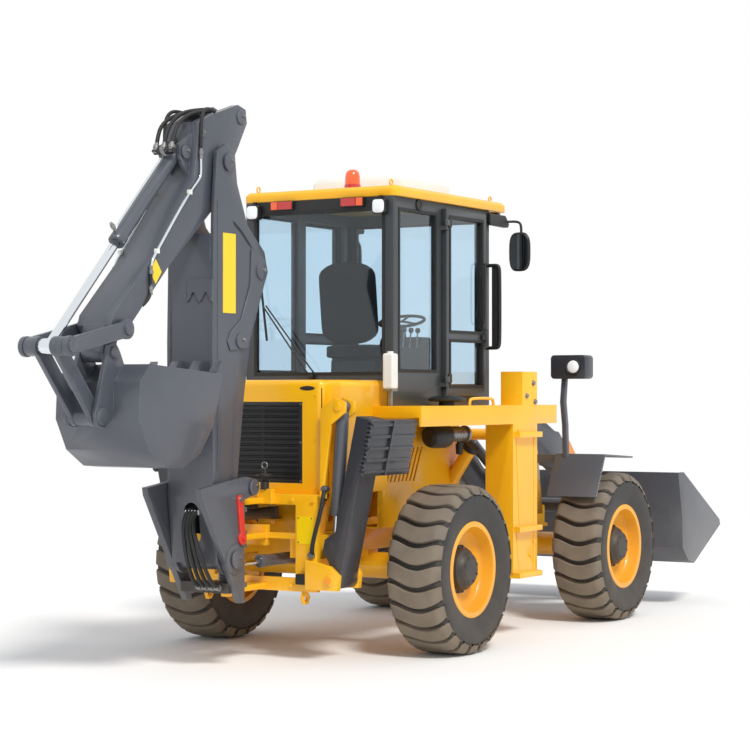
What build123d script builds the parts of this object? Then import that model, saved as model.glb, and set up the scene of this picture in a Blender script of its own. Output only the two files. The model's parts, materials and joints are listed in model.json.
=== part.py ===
from build123d import *
import os
from collections import namedtuple
from math import cos, degrees, hypot, pi, radians, sin

# Backhoe loader with an articulated frame: X forward, Y to the left, Z up, in millimetres.
# The origin is on the ground, midway between the wheels of the rear axle.
# A pin that lies across the machine is given as (x, z), an upright one as (x, y),
# and one that lies along the machine as (y, z) on the left side.

# Clearances
PIN_GAP = 0.5
SIDE_GAP = 6
FIT = 0.3

# Wheels and axles
WHEELBASE = 2570
TRACK_HALF = 970
TYRE_RADIUS = 588
TYRE_HALF_WIDTH = 205
SHOULDER_RADIUS = 500
TREAD_HALF_WIDTH = 180
CASING_RADIUS = 556
BEAD_RADIUS = 312
BEAD_HALF_WIDTH = 165
RIM_FLANGE_RADIUS = 342
RIM_FLANGE_WIDTH = 16
RIM_WALL = 14
DISC_OFFSET = 70
DISC_THICKNESS = 22
HUB_RADIUS = 112
HUB_LENGTH = 120
AXLE_RADIUS = 92
AXLE_BALL_RADIUS = 180
AXLE_HALF = 740
STUB_RADIUS = 58
STUB_HALF = 1030
LUG_COUNT = 24
LUG_HALF_ROOT = 62
LUG_HALF_TOP = 50
LUG_WAVE = 22
LUG_STATIONS = (-205, -70, 70, 205)

# Rear frame
RAIL_INNER = 260
RAIL_OUTER = 340
RAIL_BOTTOM = 700
RAIL_TOP = 860
RAIL_FRONT = 1480
STEER_PIVOT_X = 1600
STEER_PIN_RADIUS = 45
STEER_LUG_RADIUS = 118
STEER_LUG_THICKNESS = 42
STEER_LUG_LOW = 500
STEER_LUG_HIGH = 980
STEER_BOX_HALF = 185
REAR_PLATE_X = -1000
FRAME_PLATE = 40
FRAME_HALF = 500
FRAME_BOTTOM = 480
FRAME_TOP = 1130
SWING_WINDOW_HALF = 330
SWING_WINDOW_LOW = 570
SWING_WINDOW_HIGH = 1060

# Lashing eyes: bores across the machine behind, upright bores in front
LASHING_RADIUS = 25
LASHING_PLATE = 25
LASHING_REAR = (-980, 438)
LASHING_Y = 380
LASHING_FRONT = (2950, 230)

# Backhoe swing: king-post on upright pins behind the rear frame
SWING_X = -1330
SWING_PIN_RADIUS = 38
SWING_LUG_HALF = 98
SWING_LUG_THICKNESS = 40
SWING_LUG_TOPS = (530, 870, 1105)
SWING_TUBE_RADIUS = 56
SWING_ARM = 100
SWING_EAR_RADIUS = 38
SWING_RAM_BASE_X = -620
SWING_RAM_Z = {"right": 680, "left": 980}
POST_FRONT = -1464
POST_PLATE_INNER = 190
POST_PLATE_OUTER = 235

# Backhoe pins
BOOM_PIN = (-1580, 730)
BOOM_RAM_BASE = (-1370, 1190)
BOOM_RAM_EYE = (-1210, 2620)
DIPPER_RAM_BASE = (-1450, 2150)
DIPPER_PIN = (-1580, 3310)
DIPPER_RAM_EYE = (-1360, 3633)
BUCKET_RAM_BASE = (-1920, 3350)
GUIDE_PIN = (-2636, 2198)
LINK_PIN = (-3171, 2084)
HOE_PIN = (-2702, 2055)
HOE_LINK_PIN = (-2820, 1668)
HOE_PIN_RADIUS = 38
BOOM_CHEEK_INNER = 155
BOOM_CHEEK_OUTER = 180
BOOM_BOX_REAR = -1745
BOOM_BOX_FRONT = -1530
BOOM_BOX_LOW = 900
BOOM_BOX_TOP = 2840
BOOM_PLATE = 16
HOSE_SLOT_HALF = 60
HOSE_SLOT_Z = (890, 1040)
DIPPER_HALF = 130
DIPPER_SLOT_HALF = 70
DIPPER_TIP_HALF = 85
GUIDE_INNER = 150
GUIDE_OUTER = 180
LINK_INNER = 55
LINK_OUTER = 88
HOE_EAR_INNER = 94
HOE_EAR_OUTER = 122
HOE_HALF_WIDTH = 320
HOE_WALL = 18
HOE_TEETH = 4
HOE_TOOTH_PITCH = 170

# Loader pins
ARM_PIN = (2130, 1620)
BUCKET_PIN = (3620, 560)
LIFT_RAM_BASE = (1920, 580)
LIFT_RAM_EYE = (2487, 1300)
TILT_RAM_BASE = (2750, 1420)
TILT_RAM_EYE = (3580, 900)
LOADER_PIN_RADIUS = 36
ARM_INNER = 420
ARM_OUTER = 480
TOWER_PLATE = 22
LOADER_RAM_Y = 340
LOADER_HALF_WIDTH = 1170
LOADER_WALL = 20

# Front frame
BEAM_INNER = 200
BEAM_OUTER = 280
BEAM_BOTTOM = 700
BEAM_TOP = 880
BEAM_FRONT = 2900
POST_X = 1720
TOWER_INNER = (ARM_INNER - SIDE_GAP - TOWER_PLATE, ARM_INNER - SIDE_GAP)
TOWER_OUTER = (ARM_OUTER + SIDE_GAP, ARM_OUTER + SIDE_GAP + TOWER_PLATE)
FENDER_INNER = 700
FENDER_OUTER = 1130
LAMP_X = (2150, 2300)
LAMP_Y = (700, 1000)
LAMP_Z = (1922, 2110)
LAMP_POST_Y = (770, 810)

# Steering cylinders, upright pins on the left side
STEER_RAM_BASE = (1000, 300)
STEER_RAM_EYE = (1770, 300)
STEER_RAM_Z = 640

# Stabilisers
LEG_X = -880
LEG_HALF = 110
LEG_PIN = (620, 565)
LEG_PIN_RADIUS = 35
LEG_LEAN = 12
LEG_LENGTH = 1105
LEG_DEPTH_HALF = 52
LEG_HOLLOW_HALF = 62
LEG_RAM_BASE = (630, 1720)
LEG_RAM_EYE = (570, 790)
PAD_START = 725
PAD_FRONT = -400
PAD_THICKNESS = 28
PAD_RIBS = 5

# Hood, deck and cab
HOOD_REAR = -900
HOOD_STEP = -810
HOOD_FRONT = -190
HOOD_HALF_REAR = 480
HOOD_HALF = 570
HOOD_TOP = 1900
HOOD_WALL = 12
HOOD_CORNER = 48
HOOD_BROW = 45
GRILLE_HALF = 320
GRILLE_LOW = 1200
GRILLE_HIGH = 1750
GRILLE_BORDER = 25
GRILLE_SLATS = 13
LOUVRE_COUNT = 8
LOUVRE_PITCH = 55
DECK_REAR = -380
DECK_FRONT = 1300
DECK_NOSE = 1740
DECK_HALF = 950
DECK_NOSE_INNER = 700
DECK_TOP = 1720
DECK_BOTTOM = 1640
DECK_SKIRT_BOTTOM = 1580
DECK_SKIRT = 20
COLUMN_REAR = 1000
COLUMN_FRONT = 1400
COLUMN_INNER = 720
COLUMN_BOTTOM = 480
STEP_HALF_OUTER = 1000
STEP_LEVELS = (440, 780, 1480)
CAB_REAR = -190
CAB_FRONT = 1250
CAB_HALF = 620
CAB_TOP = 3190
CAB_WALL = 50
CAB_SILL = 1790
WINDOW_TOP = 3110
DOOR_REAR = 505
DOOR_FRONT = 1128
DOOR_HINGE_X = 500
DOOR_HINGE_Y = 660
DOOR_THICKNESS = 35
DOOR_TOP = 3150
DOOR_RAIL = 48
ROOF_REAR = -194
ROOF_FRONT = 1498
ROOF_HALF = 650
ROOF_THICKNESS = 75
ROOF_TOP = CAB_TOP + ROOF_THICKNESS

# Hydraulic cylinders: barrel and rod lengths from pin to end, radii, half-width of the eyes
Ram = namedtuple(
    "Ram",
    "barrel_length rod_length barrel_radius rod_radius eye_radius eye_half pin_radius",
)
BOOM_RAM = Ram(1080, 1250, 60, 34, 62, 50, 38)
DIPPER_RAM = Ram(800, 770, 50, 30, 52, 45, 32)
BUCKET_RAM = Ram(860, 988, 48, 28, 48, 46, 32)
LIFT_RAM = Ram(750, 750, 42, 26, 46, 40, 30)
TILT_RAM = Ram(800, 700, 44, 26, 38, 40, 30)
SWING_RAM = Ram(470, 470, 40, 23, 36, 40, 20)
STEER_RAM = Ram(520, 530, 36, 22, 40, 32, 24)
LEG_RAM = Ram(730, 700, 44, 26, 38, 38, 28)

SIDES = (("left", 1), ("right", -1))
# Wheels: name, place along the machine, side
WHEELS = (
    ("rear_left", 0, 1),
    ("rear_right", 0, -1),
    ("front_left", WHEELBASE, 1),
    ("front_right", WHEELBASE, -1),
)

os.makedirs("parts", exist_ok=True)


def block(x, y, z, mode=Mode.ADD):
    """Box from pairs of limits."""
    with BuildSketch(Plane.XY.offset(z[0])) as profile:
        with Locations(((x[0] + x[1]) / 2, (y[0] + y[1]) / 2)):
            Rectangle(x[1] - x[0], y[1] - y[0])
    extrude(profile.sketch, amount=z[1] - z[0], mode=mode)


def pair(x, y, z, mode=Mode.ADD):
    """The same box on both sides of the machine, y given for the left one."""
    block(x, y, z, mode)
    block(x, (-y[1], -y[0]), z, mode)


def side_plate(points, y, mode=Mode.ADD):
    """Flat plate with its outline in X and Z, between two places in Y."""
    with BuildSketch(Plane(origin=(0, y[1], 0), x_dir=(1, 0, 0), z_dir=(0, -1, 0))) as profile:
        with BuildLine():
            Polyline(*points, close=True)
        make_face()
    extrude(profile.sketch, amount=y[1] - y[0], mode=mode)


def side_pair(points, y, mode=Mode.ADD):
    """The same side plate on both sides."""
    side_plate(points, y, mode)
    side_plate(points, (-y[1], -y[0]), mode)


def top_plate(points, z, mode=Mode.ADD):
    """Flat plate with its outline in X and Y, between two heights."""
    with BuildSketch(Plane.XY.offset(z[0])) as profile:
        with BuildLine():
            Polyline(*points, close=True)
        make_face()
    extrude(profile.sketch, amount=z[1] - z[0], mode=mode)


def end_plate(points, x, mode=Mode.ADD):
    """Flat plate with its outline in Y and Z, between two places in X."""
    with BuildSketch(Plane.YZ.offset(x[0])) as profile:
        with BuildLine():
            Polyline(*points, close=True)
        make_face()
    extrude(profile.sketch, amount=x[1] - x[0], mode=mode)


def across(pin, radius, y, mode=Mode.ADD):
    """Round bar or bore across the machine."""
    with BuildSketch(Plane(origin=(0, y[1], 0), x_dir=(1, 0, 0), z_dir=(0, -1, 0))) as profile:
        with Locations(pin):
            Circle(radius)
    extrude(profile.sketch, amount=y[1] - y[0], mode=mode)


def across_pair(pin, radius, y, mode=Mode.ADD):
    """The same round bar on both sides."""
    across(pin, radius, y, mode)
    across(pin, radius, (-y[1], -y[0]), mode)


def upright(pin, radius, z, mode=Mode.ADD):
    """Upright round bar or bore."""
    with BuildSketch(Plane.XY.offset(z[0])) as profile:
        with Locations(pin):
            Circle(radius)
    extrude(profile.sketch, amount=z[1] - z[0], mode=mode)


def lengthwise(pin, radius, x, mode=Mode.ADD):
    """Round bar or bore along the machine, pin as (y, z)."""
    with BuildSketch(Plane.YZ.offset(x[0])) as profile:
        with Locations(pin):
            Circle(radius)
    extrude(profile.sketch, amount=x[1] - x[0], mode=mode)


def ram_across(base, eye, y):
    """Cylinder's frame for pins across the machine: X runs from the base pin to the rod's eye."""
    run = (eye[0] - base[0], 0, eye[1] - base[1])
    return Plane(origin=(base[0], y, base[1]), x_dir=run, z_dir=(0, -1, 0))


def ram_upright(base, eye, z, side=1):
    """Cylinder's frame for upright pins."""
    run = (eye[0] - base[0], side * (eye[1] - base[1]), 0)
    return Plane(origin=(base[0], side * base[1], z), x_dir=run, z_dir=(0, 0, 1))


def ram_lengthwise(base, eye, x, side=1):
    """Cylinder's frame for pins along the machine."""
    run = (0, side * (eye[0] - base[0]), eye[1] - base[1])
    return Plane(origin=(x, side * base[0], base[1]), x_dir=run, z_dir=(1, 0, 0))


def ram_bar(frame, radius, start, end, mode=Mode.ADD):
    """Round bar or bore on the cylinder's own line."""
    origin = frame.from_local_coords((start, 0, 0))
    with BuildSketch(Plane(origin=origin, x_dir=frame.y_dir, z_dir=frame.x_dir)) as profile:
        Circle(radius)
    extrude(profile.sketch, amount=end - start, mode=mode)


def ram_eye(frame, radius, place, half, mode=Mode.ADD):
    """Round eye or pin bore square to the cylinder's line."""
    origin = frame.from_local_coords((place, 0, -half))
    with BuildSketch(Plane(origin=origin, x_dir=frame.x_dir, z_dir=frame.z_dir)) as profile:
        Circle(radius)
    extrude(profile.sketch, amount=2 * half, mode=mode)


def barrel(frame, ram):
    """Barrel with its base eye, bored for the rod."""
    ram_bar(frame, ram.barrel_radius, ram.eye_radius * 0.8, ram.barrel_length)
    ram_bar(frame, ram.barrel_radius + 5, ram.barrel_length - 60, ram.barrel_length)
    ram_eye(frame, ram.eye_radius, 0, ram.eye_half)
    ram_eye(frame, ram.pin_radius + PIN_GAP, 0, ram.eye_half, Mode.SUBTRACT)
    ram_bar(frame, ram.rod_radius + PIN_GAP, ram.pin_radius + 15, ram.barrel_length, Mode.SUBTRACT)


def rod(frame, ram, length):
    """Rod with its round eye at the far pin."""
    ram_bar(frame, ram.rod_radius, length - ram.rod_length, length - ram.eye_radius * 0.6)
    ram_eye(frame, ram.eye_radius, length, ram.eye_half)


def pin_distance(base, eye):
    return hypot(eye[0] - base[0], eye[1] - base[1])


def save(part, name):
    part.label = name
    export_step(part, f"parts/{name}.step")



def wheel_ring(centre, place, points):
    """Closed outline square to the axle at one place along it, points as (radius, turn in degrees)."""
    corners = [(radius * sin(radians(turn)), -radius * cos(radians(turn))) for radius, turn in points]
    plane = Plane(origin=(centre[0], centre[1] + place, centre[2]), x_dir=(1, 0, 0), z_dir=(0, -1, 0))
    with BuildSketch(plane) as ring:
        with BuildLine():
            Polyline(*corners, close=True)
        make_face()
    return ring.sketch


def lug_outline(place, turn):
    """Lug's section at one place across the tread, turned with the wave that the lugs follow."""
    wave = degrees(LUG_WAVE / TYRE_RADIUS) * sin(pi * place / TYRE_HALF_WIDTH * 0.8)
    middle = turn + wave
    root = degrees(LUG_HALF_ROOT / TYRE_RADIUS)
    top = degrees(LUG_HALF_TOP / TYRE_RADIUS)
    if abs(place) < TREAD_HALF_WIDTH:
        foot = CASING_RADIUS - 20
        # the corner that comes lowest under the wheel lies on the ground
        crest = TYRE_RADIUS / cos(radians(top - abs(wave)))
    else:
        foot = SHOULDER_RADIUS - 8
        crest = TYRE_RADIUS - 14
    return [(foot, middle - root), (crest, middle - top), (crest, middle + top), (foot, middle + root)]


# Wheels: faceted casing with wavy lugs all round, rim with a dished disc and a hub
casing = (
    (-BEAD_HALF_WIDTH, RIM_FLANGE_RADIUS),
    (-TYRE_HALF_WIDTH, SHOULDER_RADIUS),
    (-TREAD_HALF_WIDTH, CASING_RADIUS),
    (TREAD_HALF_WIDTH, CASING_RADIUS),
    (TYRE_HALF_WIDTH, SHOULDER_RADIUS),
    (BEAD_HALF_WIDTH, RIM_FLANGE_RADIUS),
)
lug_turns = [index * 360 / LUG_COUNT for index in range(LUG_COUNT)]
corner_turns = [turn + 180 / LUG_COUNT for turn in lug_turns]
for wheel, wheel_x, side in WHEELS:
    hub_centre = (wheel_x, side * TRACK_HALF, TYRE_RADIUS)
    with BuildPart() as tyre:
        loft([wheel_ring(hub_centre, y, [(r, turn) for turn in corner_turns]) for y, r in casing], ruled=True)
        for turn in lug_turns:
            loft([wheel_ring(hub_centre, y, lug_outline(y, turn)) for y in LUG_STATIONS], ruled=True)
        bore_radius = BEAD_RADIUS / cos(pi / LUG_COUNT)
        bore = wheel_ring(hub_centre, BEAD_HALF_WIDTH + 1, [(bore_radius, turn) for turn in corner_turns])
        extrude(bore, amount=2 * BEAD_HALF_WIDTH + 2, mode=Mode.SUBTRACT)
    save(tyre.part, f"tyre_{wheel}")

    with BuildPart() as rim:
        well = BEAD_RADIUS - FIT
        flange_in = BEAD_HALF_WIDTH + FIT
        flange_out = flange_in + RIM_FLANGE_WIDTH
        with BuildSketch(Plane(origin=hub_centre, x_dir=(0, side, 0), z_dir=(-side, 0, 0))):
            with BuildLine():
                Polyline(
                    (-flange_out, well - RIM_WALL),
                    (-flange_out, RIM_FLANGE_RADIUS - 8),
                    (-flange_in, RIM_FLANGE_RADIUS - 8),
                    (-flange_in, well),
                    (flange_in, well),
                    (flange_in, RIM_FLANGE_RADIUS - 8),
                    (flange_out, RIM_FLANGE_RADIUS - 8),
                    (flange_out, well - RIM_WALL),
                    (DISC_OFFSET + DISC_THICKNESS, well - RIM_WALL),
                    (DISC_OFFSET - 30 + DISC_THICKNESS, HUB_RADIUS + 60),
                    (DISC_OFFSET - 30 + DISC_THICKNESS, HUB_RADIUS),
                    (DISC_OFFSET - 30 + HUB_LENGTH, HUB_RADIUS - 12),
                    (DISC_OFFSET - 30 + HUB_LENGTH, STUB_RADIUS + FIT),
                    (DISC_OFFSET - 30, STUB_RADIUS + FIT),
                    (DISC_OFFSET - 30, HUB_RADIUS + 60),
                    (DISC_OFFSET, well - RIM_WALL),
                    close=True,
                )
            make_face()
        revolve(axis=Axis((wheel_x, 0, TYRE_RADIUS), (0, 1, 0)))
    save(rim.part, f"rim_{wheel}")

# Axles: tube, differential ball, pads to the frame and a stub for each wheel
for axle_name, axle_x, seat in (
    ("rear_axle", 0, (RAIL_INNER, RAIL_OUTER)),
    ("front_axle", WHEELBASE, (BEAM_INNER, BEAM_OUTER)),
):
    centre = (axle_x, TYRE_RADIUS)
    with BuildPart() as axle:
        across(centre, AXLE_RADIUS, (-AXLE_HALF, AXLE_HALF))
        across(centre, STUB_RADIUS, (-STUB_HALF, STUB_HALF))
        across(centre, AXLE_BALL_RADIUS, (-90, 90))
        across(centre, AXLE_RADIUS + 40, (-180, 180))
        pair((axle_x - 70, axle_x + 70), seat, (TYRE_RADIUS, RAIL_BOTTOM))
        across_pair(centre, AXLE_RADIUS + 45, (AXLE_HALF - 60, AXLE_HALF))
    save(axle.part, axle_name)

# Rear frame: two rails, cross member of the swing cylinders, hinge lugs in front
plate_front = REAR_PLATE_X + FRAME_PLATE
with BuildPart() as rear_frame:
    pair((plate_front, RAIL_FRONT), (RAIL_INNER, RAIL_OUTER), (RAIL_BOTTOM, RAIL_TOP))
    block((-570, -530), (-RAIL_INNER, RAIL_INNER), (620, 1045))
    for side_name, side in SIDES:
        level = SWING_RAM_Z[side_name]
        ram_y = side * SWING_ARM
        for z_low in (level - SWING_RAM.eye_half - SIDE_GAP - 22, level + SWING_RAM.eye_half + SIDE_GAP):
            block((SWING_RAM_BASE_X - 45, -550), (ram_y - 45, ram_y + 45), (z_low, z_low + 22))
        pin_z = (level - SWING_RAM.eye_half - 40, level + SWING_RAM.eye_half + 40)
        upright((SWING_RAM_BASE_X, ram_y), SWING_RAM.pin_radius, pin_z)
    # steering: end box with two lugs and two pins, and lugs of the cylinders
    box_x = (RAIL_FRONT - 100, RAIL_FRONT)
    block(box_x, (-RAIL_OUTER, RAIL_OUTER), (RAIL_BOTTOM, RAIL_TOP))
    block(box_x, (-STEER_BOX_HALF, STEER_BOX_HALF), (STEER_LUG_LOW, STEER_LUG_HIGH + STEER_LUG_THICKNESS))
    nose = [(RAIL_FRONT - 40, -180), (STEER_PIVOT_X, -110), (STEER_PIVOT_X, 110), (RAIL_FRONT - 40, 180)]
    for z_low, pin_z in ((STEER_LUG_LOW, (470, 600)), (STEER_LUG_HIGH, (922, 1050))):
        lug = (z_low, z_low + STEER_LUG_THICKNESS)
        top_plate(nose, lug)
        upright((STEER_PIVOT_X, 0), STEER_LUG_RADIUS, lug)
        upright((STEER_PIVOT_X, 0), STEER_PIN_RADIUS, pin_z)
    base_x, base_y = STEER_RAM_BASE
    half = STEER_RAM.eye_half + SIDE_GAP
    bracket_y = (base_y - 40, base_y + 40)
    pair((base_x - 100, base_x - 50), bracket_y, (STEER_RAM_Z - half - 22, RAIL_BOTTOM))
    pair((base_x - 100, base_x + 45), bracket_y, (STEER_RAM_Z - half - 22, STEER_RAM_Z - half))
    pair((base_x - 100, base_x + 45), bracket_y, (STEER_RAM_Z + half, RAIL_BOTTOM))
    for _, side in SIDES:
        upright((base_x, side * base_y), STEER_RAM.pin_radius, (STEER_RAM_Z - half - 30, RAIL_BOTTOM))
save(rear_frame.part, "rear_frame")

# Backhoe mount: thick plate with a window behind the rails, stabiliser lugs and towers
with BuildPart() as backhoe_mount:
    plate_x = (REAR_PLATE_X, plate_front)
    window_y = (-SWING_WINDOW_HALF, SWING_WINDOW_HALF)
    middle_lug = SWING_LUG_TOPS[1]
    wing_inner = RAIL_OUTER + FIT
    block(plate_x, (-FRAME_HALF, FRAME_HALF), (FRAME_BOTTOM, FRAME_TOP))
    block(plate_x, window_y, (SWING_WINDOW_LOW, SWING_WINDOW_HIGH), Mode.SUBTRACT)
    block((plate_front, HOOD_REAR + 30), (-FRAME_HALF, FRAME_HALF), (FRAME_TOP - 30, FRAME_TOP))
    pair((plate_front, -765), (wing_inner, FRAME_HALF), (RAIL_BOTTOM, RAIL_TOP))
    block(plate_x, (-SWING_LUG_HALF, SWING_LUG_HALF), (middle_lug - 90, middle_lug + 50))
    # crossbar that ties the middle lug to both edges of the window
    block((plate_front - 30, plate_front), window_y, (middle_lug - SWING_LUG_THICKNESS, middle_lug))
    # lugs and pins of the stabiliser legs, and towers of their cylinders
    leg_rear = LEG_X - LEG_HALF - 5
    leg_front = LEG_X + LEG_HALF + 5
    tower_half = LEG_RAM.eye_half + SIDE_GAP + 6
    rear_lug = [(430, 500), (680, 500), (690, 600), (620, 660), (430, 700)]
    front_lug = [
        (wing_inner, RAIL_TOP), (wing_inner, 640), (430, 500), (680, 500), (690, 600), (FRAME_HALF, RAIL_TOP),
    ]
    tower = [
        (400, RAIL_TOP), (450, RAIL_TOP), (478, 1000), (530, 1200), (580, 1600),
        (690, 1680), (690, 1750), (600, 1780), (495, 1700), (488, 1115), (400, 960),
    ]
    for _, side in SIDES:
        end_plate([(side * y, z) for y, z in rear_lug], (leg_rear - 45, leg_rear))
        end_plate([(side * y, z) for y, z in front_lug], (leg_front, leg_front + 40))
        lengthwise((side * LEG_PIN[0], LEG_PIN[1]), LEG_PIN_RADIUS, (leg_rear - 55, leg_front + 50))
        for x_near in (LEG_X - tower_half - 20, LEG_X + tower_half):
            end_plate([(side * y, z) for y, z in tower], (x_near, x_near + 20))
        tower_pin = (side * LEG_RAM_BASE[0], LEG_RAM_BASE[1])
        lengthwise(tower_pin, LEG_RAM.pin_radius, (LEG_X - tower_half - 30, LEG_X + tower_half + 30))
save(backhoe_mount.part, "backhoe_mount")

# Lugs on the plate: three with the swing pin behind it, and a lashing eye on each side under it
with BuildPart() as mount_lugs:
    for lug_top in SWING_LUG_TOPS:
        lug = (lug_top - SWING_LUG_THICKNESS, lug_top)
        block((SWING_X, REAR_PLATE_X), (-SWING_LUG_HALF, SWING_LUG_HALF), lug)
        upright((SWING_X, 0), SWING_LUG_HALF, lug)
    upright((SWING_X, 0), SWING_PIN_RADIUS, (SWING_LUG_TOPS[0] - 70, SWING_LUG_TOPS[2] + 6))
    eye_plate = [
        (REAR_PLATE_X, FRAME_BOTTOM), (plate_front, FRAME_BOTTOM), (plate_front + 30, 440),
        (plate_front, 395), (REAR_PLATE_X, 395), (REAR_PLATE_X - 20, 440),
    ]
    side_pair(eye_plate, (LASHING_Y, LASHING_Y + LASHING_PLATE))
    across_pair(LASHING_REAR, LASHING_RADIUS, (LASHING_Y - 1, LASHING_Y + LASHING_PLATE + 1), Mode.SUBTRACT)
save(mount_lugs.part, "mount_lugs")

# Engine as one block on four feet, and the air cleaner beside it
with BuildPart() as engine_block:
    block((-850, -230), (-220, 220), (1060, 1560))
    for x_near in (-800, -340):
        pair((x_near, x_near + 60), (150, RAIL_OUTER), (1060, 1100))
        pair((x_near, x_near + 60), (RAIL_INNER + 10, RAIL_OUTER - 10), (RAIL_TOP, 1060))
    block((-620, -300), (-160, 160), (1560, 1700))
save(engine_block.part, "engine_block")


def hood_outline(inset):
    """Hood seen from above, closer in by the wall's thickness for its hollow."""
    rear = HOOD_REAR + inset
    narrow = HOOD_HALF_REAR - inset
    wide = HOOD_HALF - inset
    step = HOOD_STEP + inset
    front = HOOD_FRONT + (1 if inset else 0)
    left = [(rear, narrow), (step, narrow), (step, wide), (front, wide)]
    return left + [(x, -y) for x, y in reversed(left)]


# Hood: shell that is narrower at its rear end, with rounded corners and brow, open below
with BuildPart() as engine_hood:
    top_plate(hood_outline(0), (FRAME_TOP, HOOD_TOP))
    fillet(engine_hood.edges().filter_by(Axis.Z).group_by(Axis.X)[0], HOOD_CORNER)
    fillet(engine_hood.faces().sort_by(Axis.Z)[-1].edges(), HOOD_BROW)
    top_plate(hood_outline(HOOD_WALL), (FRAME_TOP - 1, HOOD_TOP - HOOD_BROW - HOOD_WALL), Mode.SUBTRACT)
    grille_x = (HOOD_REAR - 1, HOOD_REAR + 60)
    block(grille_x, (-GRILLE_HALF, GRILLE_HALF), (GRILLE_LOW, GRILLE_HIGH), Mode.SUBTRACT)
save(engine_hood.part, "engine_hood")

# Grille: frame with level slats in the hood's rear opening
with BuildPart() as radiator_grille:
    grille_y = GRILLE_HALF - FIT
    grille_z = (GRILLE_LOW + FIT, GRILLE_HIGH - FIT)
    inner_y = grille_y - GRILLE_BORDER
    inner_z = (grille_z[0] + GRILLE_BORDER, grille_z[1] - GRILLE_BORDER)
    block((HOOD_REAR, HOOD_REAR + 20), (-grille_y, grille_y), grille_z)
    block((HOOD_REAR - 1, HOOD_REAR + 21), (-inner_y, inner_y), inner_z, Mode.SUBTRACT)
    slat_pitch = (inner_z[1] - inner_z[0]) / GRILLE_SLATS
    for index in range(GRILLE_SLATS):
        slat_z = inner_z[0] + slat_pitch * (index + 0.5)
        block((HOOD_REAR + 2, HOOD_REAR + 16), (-grille_y, grille_y), (slat_z - 9, slat_z + 9))
    block((HOOD_REAR + 4, HOOD_REAR + 18), (-12, 12), grille_z)
save(radiator_grille.part, "radiator_grille")

# Side panels under the cab, with slanted louvre slots near the rear
with BuildPart() as side_panels:
    pair((HOOD_FRONT, COLUMN_REAR), (FRAME_HALF - 14, FRAME_HALF), (RAIL_TOP, DECK_BOTTOM))
    block((COLUMN_REAR - 14, COLUMN_REAR), (-FRAME_HALF, FRAME_HALF), (RAIL_TOP, DECK_BOTTOM))
    pair((HOOD_FRONT, COLUMN_REAR), (RAIL_OUTER - 30, FRAME_HALF), (RAIL_TOP, RAIL_TOP + 14))
    for index in range(LOUVRE_COUNT):
        slot_x = -90 + index * LOUVRE_PITCH
        slot = [(slot_x, 1180), (slot_x + 22, 1180), (slot_x + 142, 1420), (slot_x + 120, 1420)]
        side_pair(slot, (FRAME_HALF - 20, FRAME_HALF + 5), Mode.SUBTRACT)
save(side_panels.part, "side_panels")

# Deck: platform round the cab, side columns with steps
with BuildPart() as deck:
    left = [
        (HOOD_FRONT + FIT, HOOD_HALF + FIT), (DECK_REAR, HOOD_HALF + FIT), (DECK_REAR, DECK_HALF),
        (DECK_NOSE, DECK_HALF), (DECK_NOSE, DECK_NOSE_INNER), (DECK_FRONT, DECK_NOSE_INNER),
    ]
    top_plate(left + [(x, -y) for x, y in reversed(left)], (DECK_BOTTOM, DECK_TOP))
    pair((DECK_REAR, DECK_NOSE), (DECK_HALF - DECK_SKIRT, DECK_HALF), (DECK_SKIRT_BOTTOM, DECK_BOTTOM))
    pair((COLUMN_REAR, COLUMN_FRONT), (COLUMN_INNER, DECK_HALF), (COLUMN_BOTTOM, DECK_BOTTOM))
    pair((1150, COLUMN_FRONT), (770, DECK_HALF), (DECK_TOP, 1970))
    for level in STEP_LEVELS:
        pair((COLUMN_REAR + 10, COLUMN_FRONT - 10), (COLUMN_INNER + 40, STEP_HALF_OUTER), (level, level + 40))
save(deck.part, "deck")

# Cab: hollow shell with its windows and doorways cut
with BuildPart() as cab_frame:
    block((CAB_REAR, CAB_FRONT), (-CAB_HALF, CAB_HALF), (DECK_TOP, CAB_TOP))
    room_x = (CAB_REAR + CAB_WALL, CAB_FRONT - CAB_WALL)
    room_half = CAB_HALF - CAB_WALL
    block(room_x, (-room_half, room_half), (DECK_TOP + 30, CAB_TOP + 1), Mode.SUBTRACT)
    # cuts through both side walls: rear end, front end, sill
    for cut_rear, cut_front, sill in (
        (-120, 430, 1960),
        (540, 1100, CAB_SILL + 30),
        (1140, 1200, 1960),
    ):
        block((cut_rear, cut_front), (-CAB_HALF - 1, CAB_HALF + 1), (sill, WINDOW_TOP), Mode.SUBTRACT)
    block((CAB_REAR - 1, CAB_REAR + CAB_WALL + 1), (-545, 545), (1940, WINDOW_TOP), Mode.SUBTRACT)
    block((CAB_FRONT - CAB_WALL - 1, CAB_FRONT + 1), (-550, 550), (1860, WINDOW_TOP), Mode.SUBTRACT)
    # hinge brackets and pins of the doors
    for _, side in SIDES:
        for hinge_z in (1900, 3040):
            hinge_y = sorted((side * (CAB_HALF - 1), side * (DOOR_HINGE_Y + 12)))
            block((DOOR_HINGE_X - 14, DOOR_HINGE_X + 3), hinge_y, (hinge_z - 45, hinge_z - 15))
            upright((DOOR_HINGE_X, side * DOOR_HINGE_Y), 8, (hinge_z - 20, hinge_z + 20))
save(cab_frame.part, "cab_frame")

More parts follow.
